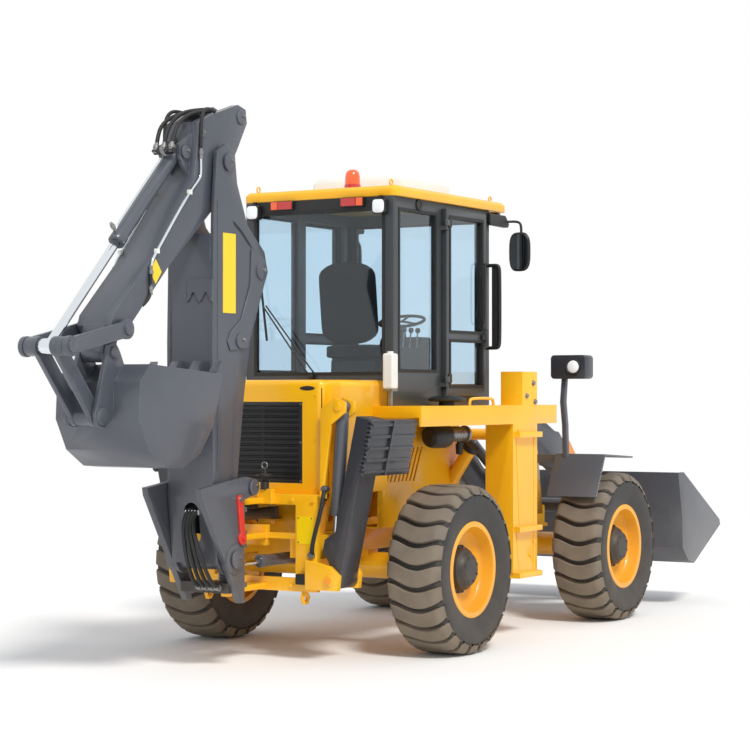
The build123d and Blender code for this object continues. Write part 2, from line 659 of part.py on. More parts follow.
# Doors: overlaid leaves with two windows each, hinged on their rear edge
for door_name, side in (("door_left", 1), ("door_right", -1)):
    with BuildPart() as door:
        leaf_y = sorted((side * (DOOR_HINGE_Y - DOOR_THICKNESS), side * DOOR_HINGE_Y))
        block((DOOR_REAR, DOOR_FRONT), leaf_y, (CAB_SILL, DOOR_TOP))
        cut_y = (leaf_y[0] - 1, leaf_y[1] + 1)
        pane_x = (DOOR_REAR + DOOR_RAIL, DOOR_FRONT - DOOR_RAIL)
        block(pane_x, cut_y, (CAB_SILL + 60, 2200), Mode.SUBTRACT)
        block(pane_x, cut_y, (2250, DOOR_TOP - DOOR_RAIL), Mode.SUBTRACT)
        for hinge_z in (1900, 3040):
            block((DOOR_REAR, DOOR_REAR + 25), leaf_y, (hinge_z - 50, hinge_z - 14), Mode.SUBTRACT)
            upright((DOOR_HINGE_X, side * DOOR_HINGE_Y), 15, (hinge_z - 14, hinge_z + 30))
            hinge_bar = sorted((side * (DOOR_HINGE_Y - 12), side * (DOOR_HINGE_Y + 12)))
            block((DOOR_HINGE_X, DOOR_REAR + 30), hinge_bar, (hinge_z - 14, hinge_z + 30))
            bore_z = (hinge_z - 15, hinge_z + 22)
            upright((DOOR_HINGE_X, side * DOOR_HINGE_Y), 8 + PIN_GAP, bore_z, Mode.SUBTRACT)
        handle = sorted((side * DOOR_HINGE_Y, side * (DOOR_HINGE_Y + 25)))
        block((DOOR_FRONT - 40, DOOR_FRONT - 15), handle, (2150, 2290))
    save(door.part, door_name)

# Roof with the air conditioner's housing and the beacon on top
with BuildPart() as cab_roof:
    block((ROOF_REAR, ROOF_FRONT), (-ROOF_HALF, ROOF_HALF), (CAB_TOP, CAB_TOP + ROOF_THICKNESS))
    fillet(cab_roof.edges().filter_by(Axis.Z), 60)
    chamfer(cab_roof.faces().sort_by(Axis.Z)[-1].edges(), 25)
save(cab_roof.part, "cab_roof")

with BuildPart() as roof_equipment:
    block((330, 1080), (-390, 390), (ROOF_TOP, ROOF_TOP + 150))
    chamfer(roof_equipment.faces().sort_by(Axis.Z)[-1].edges(), 45)
    upright((0, -170), 62, (ROOF_TOP, ROOF_TOP + 28))
    upright((0, -170), 52, (ROOF_TOP + 28, ROOF_TOP + 130))
save(roof_equipment.part, "roof_equipment")

# Operator's seat on its box and the control console
with BuildPart() as cab_interior:
    block((250, 650), (-200, 200), (DECK_TOP + 30, 2060))
    block((200, 680), (-240, 240), (2060, 2170))
    side_plate([(200, 2170), (320, 2170), (250, 2780), (140, 2780)], (-230, 230))
    block((900, 1150), (-180, 180), (DECK_TOP + 30, 2240))
    side_plate([(880, 2330), (900, 2290), (1120, 2380), (1100, 2420)], (-190, 190))
    side_plate([(960, 2240), (1040, 2240), (1030, 2330), (990, 2330)], (-30, 30))
save(cab_interior.part, "cab_interior")

# Work lamps and tail lamps under the roof's rear edge, and the mirrors in front
with BuildPart() as cab_fittings:
    pair((CAB_REAR - 62, CAB_REAR), (480, 580), (3060, CAB_TOP))
    pair((CAB_REAR - 36, CAB_REAR), (200, 390), (3120, CAB_TOP))
    pair((1480, 1520), (ROOF_HALF - 20, ROOF_HALF + 60), (3140, CAB_TOP))
    pair((1490, 1510), (ROOF_HALF + 40, ROOF_HALF + 60), (3040, 3140))
    pair((1485, 1525), (ROOF_HALF + 10, ROOF_HALF + 190), (2740, 3040))
    block((1440, 1498), (-ROOF_HALF + 60, ROOF_HALF - 60), (3150, CAB_TOP))
    block((1470, 1498), (-ROOF_HALF - 5, ROOF_HALF + 5), (3160, CAB_TOP))
save(cab_fittings.part, "cab_fittings")

# Front frame: hinge post, two beams, towers of the lift arms
with BuildPart() as front_frame:
    pair((POST_X, BEAM_FRONT), (BEAM_INNER, BEAM_OUTER), (BEAM_BOTTOM, BEAM_TOP))
    block((POST_X, POST_X + 50), (-BEAM_OUTER, BEAM_OUTER), (BEAM_BOTTOM, 974))
    block((POST_X, POST_X + 50), (-190, 190), (548, BEAM_BOTTOM))
    block((BEAM_FRONT - 60, BEAM_FRONT), (-BEAM_OUTER, BEAM_OUTER), (BEAM_BOTTOM, BEAM_TOP))
    tongue = [(POST_X + 20, -190), (STEER_PIVOT_X, -100), (STEER_PIVOT_X, 100), (POST_X + 20, 190)]
    for lug in ((548, 590), (932, 974)):
        top_plate(tongue, lug)
        upright((STEER_PIVOT_X, 0), 105, lug)
        upright((STEER_PIVOT_X, 0), STEER_PIN_RADIUS + PIN_GAP, (lug[0] - 1, lug[1] + 1), Mode.SUBTRACT)
    # ears of the steering cylinders
    eye_x = STEER_RAM_EYE[0]
    eye_y = STEER_RAM_EYE[1]
    half = STEER_RAM.eye_half + SIDE_GAP
    for z_low in (STEER_RAM_Z - half - 20, STEER_RAM_Z + half):
        pair((eye_x - 40, eye_x + 40), (BEAM_INNER, eye_y + 45), (z_low, z_low + 20))
    pair((eye_x - 40, eye_x + 40), (BEAM_INNER, BEAM_INNER + 30), (STEER_RAM_Z - half - 20, BEAM_BOTTOM))
    # towers: two plates a side, tied at the base and at the rear
    tower = [
        (1980, BEAM_TOP - 40), (2400, BEAM_TOP - 40), (2330, 1250), (2220, 1660),
        (2180, 1710), (2080, 1710), (2030, 1640), (1980, 1300),
    ]
    side_pair(tower, TOWER_INNER)
    side_pair(tower, TOWER_OUTER)
    pair((1980, 2000), (TOWER_INNER[0], TOWER_OUTER[1]), (BEAM_TOP - 40, 1300))
    block((2270, 2390), (-TOWER_OUTER[1], TOWER_OUTER[1]), (BEAM_TOP - 40, BEAM_TOP))
    across((2060, 1480), 45, (-TOWER_INNER[0], TOWER_INNER[0]))
    across_pair(ARM_PIN, LOADER_PIN_RADIUS, (TOWER_INNER[0] - 10, TOWER_OUTER[1] + 10))
    # lugs and pins of the lift cylinders
    low_x = LIFT_RAM_BASE[0]
    lug_in = LOADER_RAM_Y - LIFT_RAM.eye_half - SIDE_GAP
    lug_out = LOADER_RAM_Y + LIFT_RAM.eye_half + SIDE_GAP
    lug_top = BEAM_TOP - 120
    lug_side = [
        (low_x - 70, lug_top), (low_x - 60, 530), (low_x + 40, 520), (low_x + 70, 600), (low_x + 60, lug_top),
    ]
    side_pair(lug_side, (BEAM_OUTER - 1, lug_in))
    side_pair(lug_side, (lug_out, lug_out + 22))
    pair((low_x - 70, low_x - 50), (BEAM_OUTER - 1, lug_out + 22), (600, lug_top))
    across_pair(LIFT_RAM_BASE, LIFT_RAM.pin_radius, (BEAM_OUTER - 1, lug_out + 30))
    # level lashing eyes on the beams' front ends
    eye_x, eye_y = LASHING_FRONT
    eye_z = (BEAM_BOTTOM, BEAM_BOTTOM + LASHING_PLATE)
    for _, side in SIDES:
        block((BEAM_FRONT - 5, eye_x), (side * eye_y - 50, side * eye_y + 50), eye_z)
        upright((eye_x, side * eye_y), 50, eye_z)
        upright((eye_x, side * eye_y), LASHING_RADIUS, (eye_z[0] - 1, eye_z[1] + 1), Mode.SUBTRACT)
save(front_frame.part, "front_frame")

# Fenders over the front wheels, with the brackets that carry them
with BuildPart() as front_fenders:
    guard = [(2070, 1000), (2240, 1330), (2780, 1300), (2780, 1286), (2248, 1315), (2084, 993)]
    side_pair(guard, (FENDER_INNER, FENDER_OUTER))
    pair((2245, 2310), (TOWER_OUTER[1], FENDER_INNER + 60), (1250, 1320))
    lamp_post = [
        (2220, 1300), (2262, 1300), (2250, 1560), (2215, 1740), (2240, 1922),
        (2200, 1922), (2172, 1740), (2208, 1555),
    ]
    side_pair(lamp_post, LAMP_POST_Y)
save(front_fenders.part, "front_fenders")

with BuildPart() as head_lamps:
    pair(LAMP_X, LAMP_Y, LAMP_Z)
    fillet(head_lamps.edges().filter_by(Axis.X), 30)
save(head_lamps.part, "head_lamps")

# Lift arms: two bent plates tied by a tube, with bosses for the cylinders
with BuildPart() as lift_arms:
    arm = [
        (2100, 1690), (2200, 1700), (2680, 1500), (2760, 1490), (2900, 1370), (3430, 930), (3690, 620),
        (3680, 500), (3560, 490), (3330, 700), (2760, 1120), (2580, 1210), (2430, 1240), (2330, 1380),
        (2070, 1550),
    ]
    side_pair(arm, (ARM_INNER, ARM_OUTER))
    across((3260, 860), 62, (-ARM_INNER, ARM_INNER))
    across_pair(ARM_PIN, LOADER_PIN_RADIUS + PIN_GAP, (ARM_INNER - 1, ARM_OUTER + 1), Mode.SUBTRACT)
    across_pair(BUCKET_PIN, LOADER_PIN_RADIUS + PIN_GAP, (ARM_INNER - 1, ARM_OUTER + 1), Mode.SUBTRACT)
    boss_face = LOADER_RAM_Y + LIFT_RAM.eye_half + SIDE_GAP
    across_pair(LIFT_RAM_EYE, 50, (boss_face, ARM_INNER))
    across_pair(TILT_RAM_BASE, 50, (boss_face, ARM_INNER))
    across_pair(TILT_RAM_BASE, TILT_RAM.pin_radius, (LOADER_RAM_Y - TILT_RAM.eye_half - 8, ARM_INNER))
save(lift_arms.part, "lift_arms")

# Loader bucket: bent shell, side plates, ears for the arms and the tilt cylinders
with BuildPart() as loader_bucket:
    outer = [(3640, 1140), (3725, 760), (3735, 500), (3860, 390), (3990, 355), (4600, 655)]
    shell = [(4592, 672), (3988, 376), (3868, 409), (3755, 508), (3745, 763), (3662, 1140)]
    cheek = outer + [(4580, 700), (3760, 1140)]
    side_plate(outer + shell, (-LOADER_HALF_WIDTH, LOADER_HALF_WIDTH))
    side_pair(cheek, (LOADER_HALF_WIDTH - LOADER_WALL, LOADER_HALF_WIDTH))
    ear = [(3735, 700), (3640, 640), (3560, 600), (3560, 510), (3620, 480), (3735, 500)]
    side_pair(ear, (ARM_INNER - SIDE_GAP - 26, ARM_INNER - SIDE_GAP))
    side_pair(ear, (ARM_OUTER + SIDE_GAP, ARM_OUTER + SIDE_GAP + 26))
    across_pair(BUCKET_PIN, LOADER_PIN_RADIUS, (ARM_INNER - SIDE_GAP - 30, ARM_OUTER + SIDE_GAP + 30))
    tilt_in = LOADER_RAM_Y - TILT_RAM.eye_half - SIDE_GAP
    tilt_out = LOADER_RAM_Y + TILT_RAM.eye_half + SIDE_GAP
    tilt_ear = [(3705, 860), (3680, 970), (3620, 945), (3540, 930), (3540, 870), (3600, 840)]
    side_pair(tilt_ear, (tilt_in - 24, tilt_in))
    side_pair(tilt_ear, (tilt_out, tilt_out + 24))
save(loader_bucket.part, "loader_bucket")

# Cylinders of the loader, both of a pair in one node
for ram_name, base, eye, ram in (
    ("lift", LIFT_RAM_BASE, LIFT_RAM_EYE, LIFT_RAM),
    ("tilt", TILT_RAM_BASE, TILT_RAM_EYE, TILT_RAM),
):
    with BuildPart() as barrels:
        for _, side in SIDES:
            barrel(ram_across(base, eye, side * LOADER_RAM_Y), ram)
    save(barrels.part, f"{ram_name}_barrels")
    with BuildPart() as rods:
        for _, side in SIDES:
            rod(ram_across(base, eye, side * LOADER_RAM_Y), ram, pin_distance(base, eye))
    save(rods.part, f"{ram_name}_rods")

# Steering, swing and stabiliser cylinders, one of each on a side
for side_name, side in SIDES:
    swing_base = (SWING_RAM_BASE_X, SWING_ARM)
    swing_eye = (SWING_X, SWING_ARM)
    # each cylinder: name, sizes, base pin, rod's pin, how it lies, place across its pins
    for ram_name, ram, base, eye, lie, place in (
        ("steer", STEER_RAM, STEER_RAM_BASE, STEER_RAM_EYE, ram_upright, STEER_RAM_Z),
        ("swing", SWING_RAM, swing_base, swing_eye, ram_upright, SWING_RAM_Z[side_name]),
        ("stabiliser", LEG_RAM, LEG_RAM_BASE, LEG_RAM_EYE, ram_lengthwise, LEG_X),
    ):
        frame = lie(base, eye, place, side)
        with BuildPart() as ram_barrel:
            barrel(frame, ram)
        save(ram_barrel.part, f"{ram_name}_barrel_{side_name}")
        with BuildPart() as ram_rod:
            rod(frame, ram, pin_distance(base, eye))
        save(ram_rod.part, f"{ram_name}_rod_{side_name}")


def leg_prism(side, points, x, mode=Mode.ADD):
    """Prism of a stabiliser leg with its outline as (along the leg, towards the machine)."""
    lean = radians(LEG_LEAN)
    up = (0, side * sin(lean), cos(lean))
    origin = ((x[0] + x[1]) / 2, side * LEG_PIN[0], LEG_PIN[1])
    with BuildSketch(Plane(origin=origin, x_dir=up, z_dir=(side, 0, 0))) as profile:
        with BuildLine():
            Polyline(*points, close=True)
        make_face()
    extrude(profile.sketch, amount=(x[1] - x[0]) / 2, both=True, mode=mode)


def leg_slab(side, along, inward, x, mode=Mode.ADD):
    """Slab of a stabiliser leg from its limits along the leg, towards the machine and along X."""
    corners = [(along[0], inward[0]), (along[1], inward[0]), (along[1], inward[1]), (along[0], inward[1])]
    leg_prism(side, corners, x, mode)


# Stabiliser legs: channels open to the inside, with a ribbed pad on the outer face
leg_x = (LEG_X - LEG_HALF, LEG_X + LEG_HALF)
hollow_x = (LEG_X - LEG_HOLLOW_HALF, LEG_X + LEG_HOLLOW_HALF)
pad_x = (LEG_X - LEG_HALF, PAD_FRONT)
for side_name, side in SIDES:
    with BuildPart() as leg:
        depth = LEG_DEPTH_HALF
        pad_face = -depth - PAD_THICKNESS
        leg_slab(side, (0, LEG_LENGTH), (-depth, depth), leg_x)
        lengthwise((side * LEG_PIN[0], LEG_PIN[1]), 60, leg_x)
        leg_slab(side, (66, PAD_START - 30), (24 - depth, depth + 5), hollow_x, Mode.SUBTRACT)
        leg_slab(side, (PAD_START, LEG_LENGTH), (pad_face, -depth), pad_x)
        for index in range(PAD_RIBS):
            rib = PAD_START + 20 + index * (LEG_LENGTH - PAD_START - 60) / (PAD_RIBS - 1)
            leg_slab(side, (rib, rib + 20), (pad_face - 14, -depth), pad_x)
        # ears of the cylinder on the inner side
        lean = radians(LEG_LEAN)
        reach_y = LEG_RAM_EYE[0] - LEG_PIN[0]
        reach_z = LEG_RAM_EYE[1] - LEG_PIN[1]
        ear_along = reach_y * sin(lean) + reach_z * cos(lean)
        ear_in = reach_z * sin(lean) - reach_y * cos(lean)
        ear = [
            (ear_along - 110, depth - 2), (ear_along + 110, depth - 2),
            (ear_along + 40, ear_in + 25), (ear_along - 40, ear_in + 25),
        ]
        leg_prism(side, ear, (leg_x[0], hollow_x[0]))
        leg_prism(side, ear, (hollow_x[1], leg_x[1]))
        bore_x = (leg_x[0] - 1, leg_x[1] + 1)
        lengthwise((side * LEG_PIN[0], LEG_PIN[1]), LEG_PIN_RADIUS + PIN_GAP, bore_x, Mode.SUBTRACT)
    save(leg.part, f"stabiliser_leg_{side_name}")

# King-post: side plates, tubes on the swing pins, shelves and ears of the swing cylinders
with BuildPart() as king_post:
    cheek = [
        (-1320, 1145), (-1320, 1240), (-1440, 1262), (-1950, 1200), (-1940, 1150), (-1510, 440),
        (POST_FRONT, 440), (POST_FRONT, 1112),
    ]
    side_pair(cheek, (POST_PLATE_INNER, POST_PLATE_OUTER))
    across_pair(BOOM_PIN, 95, (POST_PLATE_INNER, POST_PLATE_OUTER + 10))
    for bay, side_name in enumerate(("right", "left")):
        low = SWING_LUG_TOPS[bay] + SIDE_GAP
        high = SWING_LUG_TOPS[bay + 1] - SWING_LUG_THICKNESS - SIDE_GAP
        level = SWING_RAM_Z[side_name]
        side = dict(SIDES)[side_name]
        upright((SWING_X, 0), SWING_TUBE_RADIUS, (low, high))
        for shelf in ((low, low + 30), (high - 30, high)):
            left = [
                (SWING_X, SWING_TUBE_RADIUS), (-1400, POST_PLATE_INNER + 20), (-1500, POST_PLATE_INNER + 20),
                (-1500, POST_PLATE_INNER - 4), (-1440, POST_PLATE_INNER - 4),
            ]
            top_plate(left + [(x, -y) for x, y in reversed(left)], shelf)
        ear_gap = SWING_RAM.eye_half + SIDE_GAP
        for z_low in (level - ear_gap - 20, level + ear_gap):
            ear_x = (SWING_X - SWING_EAR_RADIUS, SWING_X + SWING_EAR_RADIUS)
            block(ear_x, sorted((0, side * SWING_ARM)), (z_low, z_low + 20))
            upright((SWING_X, side * SWING_ARM), SWING_EAR_RADIUS, (z_low, z_low + 20))
    upright((SWING_X, 0), SWING_PIN_RADIUS + PIN_GAP, (FRAME_BOTTOM, FRAME_TOP), Mode.SUBTRACT)
    across(BOOM_PIN, HOE_PIN_RADIUS, (-POST_PLATE_OUTER - 20, POST_PLATE_OUTER + 20))
    across(BOOM_RAM_BASE, BOOM_RAM.pin_radius, (-POST_PLATE_OUTER - 10, POST_PLATE_OUTER + 10))
save(king_post.part, "king_post")

# Boom: two cheeks, front and rear plates, bosses of the cylinders
with BuildPart() as boom:
    cheek = [
        (-1690, 700), (-1745, 1150), (-1753, 2145), (-1735, 2989), (-1700, 3370), (-1600, 3430),
        (-1500, 3380), (-1472, 3180), (-1350, 2914), (-1150, 2752), (-1110, 2620), (-1164, 2507), (-1319, 2155),
        (-1390, 1800), (-1460, 1300), (-1490, 1150), (-1500, 700),
    ]
    side_pair(cheek, (BOOM_CHEEK_INNER, BOOM_CHEEK_OUTER))
    across_pair(BOOM_PIN, 104, (BOOM_CHEEK_INNER, BOOM_CHEEK_OUTER))
    inner = (-BOOM_CHEEK_INNER, BOOM_CHEEK_INNER)
    block((BOOM_BOX_REAR, BOOM_BOX_REAR + BOOM_PLATE), inner, (BOOM_BOX_LOW + 250, BOOM_BOX_TOP))
    block((BOOM_BOX_FRONT - BOOM_PLATE, BOOM_BOX_FRONT), inner, (BOOM_BOX_LOW, BOOM_BOX_TOP))
    block((BOOM_BOX_REAR, BOOM_BOX_FRONT), inner, (BOOM_BOX_TOP - BOOM_PLATE, BOOM_BOX_TOP))
    # plate low between the cheeks with the oval opening of the hoses
    low_plate = [(-1690, 705), (-1745, 1150), (-1729, 1150), (-1674, 705)]
    side_plate(low_plate, inner)
    block((-1760, -1640), (-HOSE_SLOT_HALF, HOSE_SLOT_HALF), HOSE_SLOT_Z, Mode.SUBTRACT)
    for slot_end in HOSE_SLOT_Z:
        lengthwise((0, slot_end), HOSE_SLOT_HALF, (-1760, -1640), Mode.SUBTRACT)
    across(BOOM_PIN, 70, inner)
    across(BOOM_PIN, HOE_PIN_RADIUS + PIN_GAP, (-BOOM_CHEEK_OUTER - 1, BOOM_CHEEK_OUTER + 1), Mode.SUBTRACT)
    across(DIPPER_RAM_BASE, DIPPER_RAM.pin_radius, (-BOOM_CHEEK_OUTER - 12, BOOM_CHEEK_OUTER + 12))
    across_pair(BOOM_RAM_EYE, 62, (BOOM_RAM.eye_half + SIDE_GAP, BOOM_CHEEK_OUTER + 12))
    across(DIPPER_PIN, HOE_PIN_RADIUS, (-BOOM_CHEEK_OUTER - 12, BOOM_CHEEK_OUTER + 12))
save(boom.part, "boom")

# Dipper: tapering box, forked nose for the cylinder, narrow tip for the bucket
with BuildPart() as dipper:
    body = [
        (-1828, 3554), (-1885, 3163), (-2328, 2653), (-2721, 2283), (-2740, 2220), (-2690, 2150),
        (-2600, 2150), (-2566, 2208), (-2395, 2374), (-2165, 2596), (-1682, 2994), (-1500, 3240),
        (-1480, 3400), (-1600, 3560),
    ]
    side_plate(body, (-DIPPER_HALF, DIPPER_HALF))
    nose = [
        (-1828, 3554), (-1700, 3610), (-1390, 3712), (-1300, 3690),
        (-1285, 3600), (-1399, 3413), (-1480, 3300), (-1650, 3400),
    ]
    side_pair(nose, (DIPPER_SLOT_HALF, DIPPER_HALF))
    across(DIPPER_PIN, 92, (-BOOM_CHEEK_INNER + SIDE_GAP, BOOM_CHEEK_INNER - SIDE_GAP))
    across(DIPPER_PIN, HOE_PIN_RADIUS + PIN_GAP, (-BOOM_CHEEK_INNER, BOOM_CHEEK_INNER), Mode.SUBTRACT)
    # tip that reaches down between the bucket's ears
    tip = [(-2740, 2230), (-2760, 2060), (-2650, 2040), (-2600, 2190)]
    side_plate(tip, (-DIPPER_TIP_HALF, DIPPER_TIP_HALF))
    across(HOE_PIN, 60, (-DIPPER_TIP_HALF, DIPPER_TIP_HALF))
    across(HOE_PIN, HOE_PIN_RADIUS + PIN_GAP, (-DIPPER_TIP_HALF - 1, DIPPER_TIP_HALF + 1), Mode.SUBTRACT)
    across(GUIDE_PIN, HOE_PIN_RADIUS + PIN_GAP, (-DIPPER_HALF - 1, DIPPER_HALF + 1), Mode.SUBTRACT)
    # lugs and pin of the bucket cylinder
    lug_face = BUCKET_RAM.eye_half + SIDE_GAP
    ram_lug = [(-1845, 3300), (-1810, 3500), (-1880, 3450), (-1975, 3395), (-1965, 3300), (-1865, 3190)]
    side_pair(ram_lug, (lug_face, lug_face + 28))
    across(BUCKET_RAM_BASE, BUCKET_RAM.pin_radius, (-lug_face - 36, lug_face + 36))
save(dipper.part, "dipper")

# Cylinders of the backhoe
for ram_name, base, eye, ram in (
    ("boom", BOOM_RAM_BASE, BOOM_RAM_EYE, BOOM_RAM),
    ("dipper", DIPPER_RAM_BASE, DIPPER_RAM_EYE, DIPPER_RAM),
    ("hoe", BUCKET_RAM_BASE, LINK_PIN, BUCKET_RAM),
):
    with BuildPart() as hoe_barrel:
        barrel(ram_across(base, eye, 0), ram)
    save(hoe_barrel.part, f"{ram_name}_barrel")
    with BuildPart() as hoe_rod:
        rod(ram_across(base, eye, 0), ram, pin_distance(base, eye))
    save(hoe_rod.part, f"{ram_name}_rod")


def link_plate(start, end, radius, y):
    """Plate with round ends from one pin to another."""
    run = (end[0] - start[0], end[1] - start[1])
    length = hypot(*run)
    step_x = -run[1] / length * radius * 0.8
    step_z = run[0] / length * radius * 0.8
    points = [
        (start[0] + step_x, start[1] + step_z), (end[0] + step_x, end[1] + step_z),
        (end[0] - step_x, end[1] - step_z), (start[0] - step_x, start[1] - step_z),
    ]
    side_plate(points, y)
    across(start, radius, y)
    across(end, radius, y)


# Guide links and the bucket link that join the cylinder to the bucket
with BuildPart() as guide_links:
    link_plate(GUIDE_PIN, LINK_PIN, 62, (GUIDE_INNER, GUIDE_OUTER))
    link_plate(GUIDE_PIN, LINK_PIN, 62, (-GUIDE_OUTER, -GUIDE_INNER))
    across(GUIDE_PIN, HOE_PIN_RADIUS, (-GUIDE_OUTER - 15, GUIDE_OUTER + 15))
    across_pair(LINK_PIN, HOE_PIN_RADIUS, (LINK_INNER, GUIDE_OUTER + 15))
save(guide_links.part, "guide_links")

with BuildPart() as bucket_link:
    link_plate(LINK_PIN, HOE_LINK_PIN, 60, (LINK_INNER, LINK_OUTER))
    link_plate(LINK_PIN, HOE_LINK_PIN, 60, (-LINK_OUTER, -LINK_INNER))
    across_pair(LINK_PIN, 58, (LINK_OUTER, GUIDE_INNER - SIDE_GAP))
    across(HOE_LINK_PIN, 55, (-LINK_OUTER, LINK_OUTER))
    across(LINK_PIN, HOE_PIN_RADIUS + PIN_GAP, (-GUIDE_INNER, GUIDE_INNER), Mode.SUBTRACT)
save(bucket_link.part, "bucket_link")

# Hoe bucket: bent shell with side plates, ears and four teeth
with BuildPart() as hoe_bucket:
    outer = [
        (-2600, 1985), (-2700, 1880), (-2712, 1650), (-2610, 1460), (-2440, 1355),
        (-2270, 1341), (-2080, 1430), (-1940, 1600), (-1830, 1930),
    ]
    inner = [
        (-1850, 1930), (-1958, 1608), (-2092, 1445), (-2274, 1360), (-2436, 1373),
        (-2598, 1474), (-2694, 1655), (-2682, 1872), (-2586, 1972),
    ]
    side_plate(outer + inner, (-HOE_HALF_WIDTH, HOE_HALF_WIDTH))
    side_pair(outer, (HOE_HALF_WIDTH - HOE_WALL, HOE_HALF_WIDTH))
    ear = [
        (-2600, 1985), (-2640, 2060), (-2690, 2125), (-2750, 2100), (-2780, 2010),
        (-2880, 1690), (-2860, 1610), (-2790, 1600), (-2712, 1650), (-2700, 1880),
    ]
    side_pair(ear, (HOE_EAR_INNER, HOE_EAR_OUTER))
    across(HOE_PIN, HOE_PIN_RADIUS, (-HOE_EAR_OUTER - 15, HOE_EAR_OUTER + 15))
    across_pair(HOE_LINK_PIN, HOE_PIN_RADIUS + 12, (HOE_EAR_INNER, HOE_EAR_OUTER + 15))
    tooth = [(-1862, 1840), (-1840, 1840), (-1790, 2015), (-1858, 1945)]
    for index in range(HOE_TEETH):
        tooth_y = (index - (HOE_TEETH - 1) / 2) * HOE_TOOTH_PITCH
        side_plate(tooth, (tooth_y - 30, tooth_y + 30))
save(hoe_bucket.part, "hoe_bucket")
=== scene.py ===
"""Looks of an articulated backhoe loader, built round its packed construction model.

Everything is in metres, in the model's own frame: X forward, Y to the left and Z up, with the
origin on the ground, midway between the rear wheels.
"""

import json
import logging
import math
from collections.abc import Iterable, Sequence
from dataclasses import dataclass
from enum import Enum

import bmesh
import bpy
from mathutils import Matrix, Vector

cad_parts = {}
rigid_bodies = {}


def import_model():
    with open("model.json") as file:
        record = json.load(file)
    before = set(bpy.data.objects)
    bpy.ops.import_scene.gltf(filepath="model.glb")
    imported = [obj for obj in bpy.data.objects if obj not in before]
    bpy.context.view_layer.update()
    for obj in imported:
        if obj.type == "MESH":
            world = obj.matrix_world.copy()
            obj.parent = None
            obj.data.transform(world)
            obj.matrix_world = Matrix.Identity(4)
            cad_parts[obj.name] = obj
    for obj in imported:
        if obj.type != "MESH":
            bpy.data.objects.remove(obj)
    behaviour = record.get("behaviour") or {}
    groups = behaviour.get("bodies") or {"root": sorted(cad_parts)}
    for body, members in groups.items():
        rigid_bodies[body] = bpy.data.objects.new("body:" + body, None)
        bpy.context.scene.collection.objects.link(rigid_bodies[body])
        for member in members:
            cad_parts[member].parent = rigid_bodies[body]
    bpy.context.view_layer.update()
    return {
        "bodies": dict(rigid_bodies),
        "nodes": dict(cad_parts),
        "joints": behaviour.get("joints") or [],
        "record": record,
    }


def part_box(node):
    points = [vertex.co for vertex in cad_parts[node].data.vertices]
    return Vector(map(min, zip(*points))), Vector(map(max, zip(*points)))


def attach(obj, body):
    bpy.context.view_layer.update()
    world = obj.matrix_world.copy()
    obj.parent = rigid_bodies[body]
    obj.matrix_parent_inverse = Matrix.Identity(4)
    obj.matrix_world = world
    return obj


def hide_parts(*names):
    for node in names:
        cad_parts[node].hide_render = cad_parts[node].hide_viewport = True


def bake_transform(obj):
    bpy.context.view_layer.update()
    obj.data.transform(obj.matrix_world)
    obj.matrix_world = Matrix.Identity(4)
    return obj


LOG = logging.getLogger("backhoe_loader")
SIDES: dict[str, int] = {"left": 1, "right": -1}
Point = Sequence[float]
Outline = Sequence[tuple[float, float]]

CAB_SIDE = 0.620
DOOR_SIDE = 0.660
CAB_FLOOR = 1.749
BOOM_SIDE = 0.192
DIPPER_SIDE = 0.130
CYLINDER_PIPE_RADIUS = 0.008
BOOM_CYLINDER_FOOT = (-1.370, 1.190)
BOOM_EYE = (-1.210, 2.620)
BUCKET_CYLINDER_FOOT = (-1.920, 3.350)
BUCKET_CYLINDER_EYE = (-3.171, 2.084)


class Axis(Enum):
    """Direction that a plate is pressed along, or that a turned piece turns about."""

    X = 0
    Y = 1
    Z = 2

    @property
    def turn(self) -> Matrix:
        """Turn that brings the Z direction to this one."""
        target = Vector([1.0 if index == self.value else 0.0 for index in range(3)])
        return Vector((0, 0, 1)).rotation_difference(target).to_matrix().to_4x4()

    def point(self, along: float, first: float, second: float) -> Vector:
        """Point from its place along this direction and its other two coordinates in order."""
        values = [first, second]
        values.insert(self.value, along)
        return Vector(values)


def linear(red: float, green: float, blue: float) -> tuple[float, float, float, float]:
    """Linear colour of a screen colour.

    Args:
        red: Red from 0 to 255.
        green: Green from 0 to 255.
        blue: Blue from 0 to 255.

    Returns:
        The colour as a shader socket takes it.
    """
    values = [channel / 255 for channel in (red, green, blue)]
    lit = [v / 12.92 if v <= 0.04045 else ((v + 0.055) / 1.055) ** 2.4 for v in values]
    return (lit[0], lit[1], lit[2], 1.0)


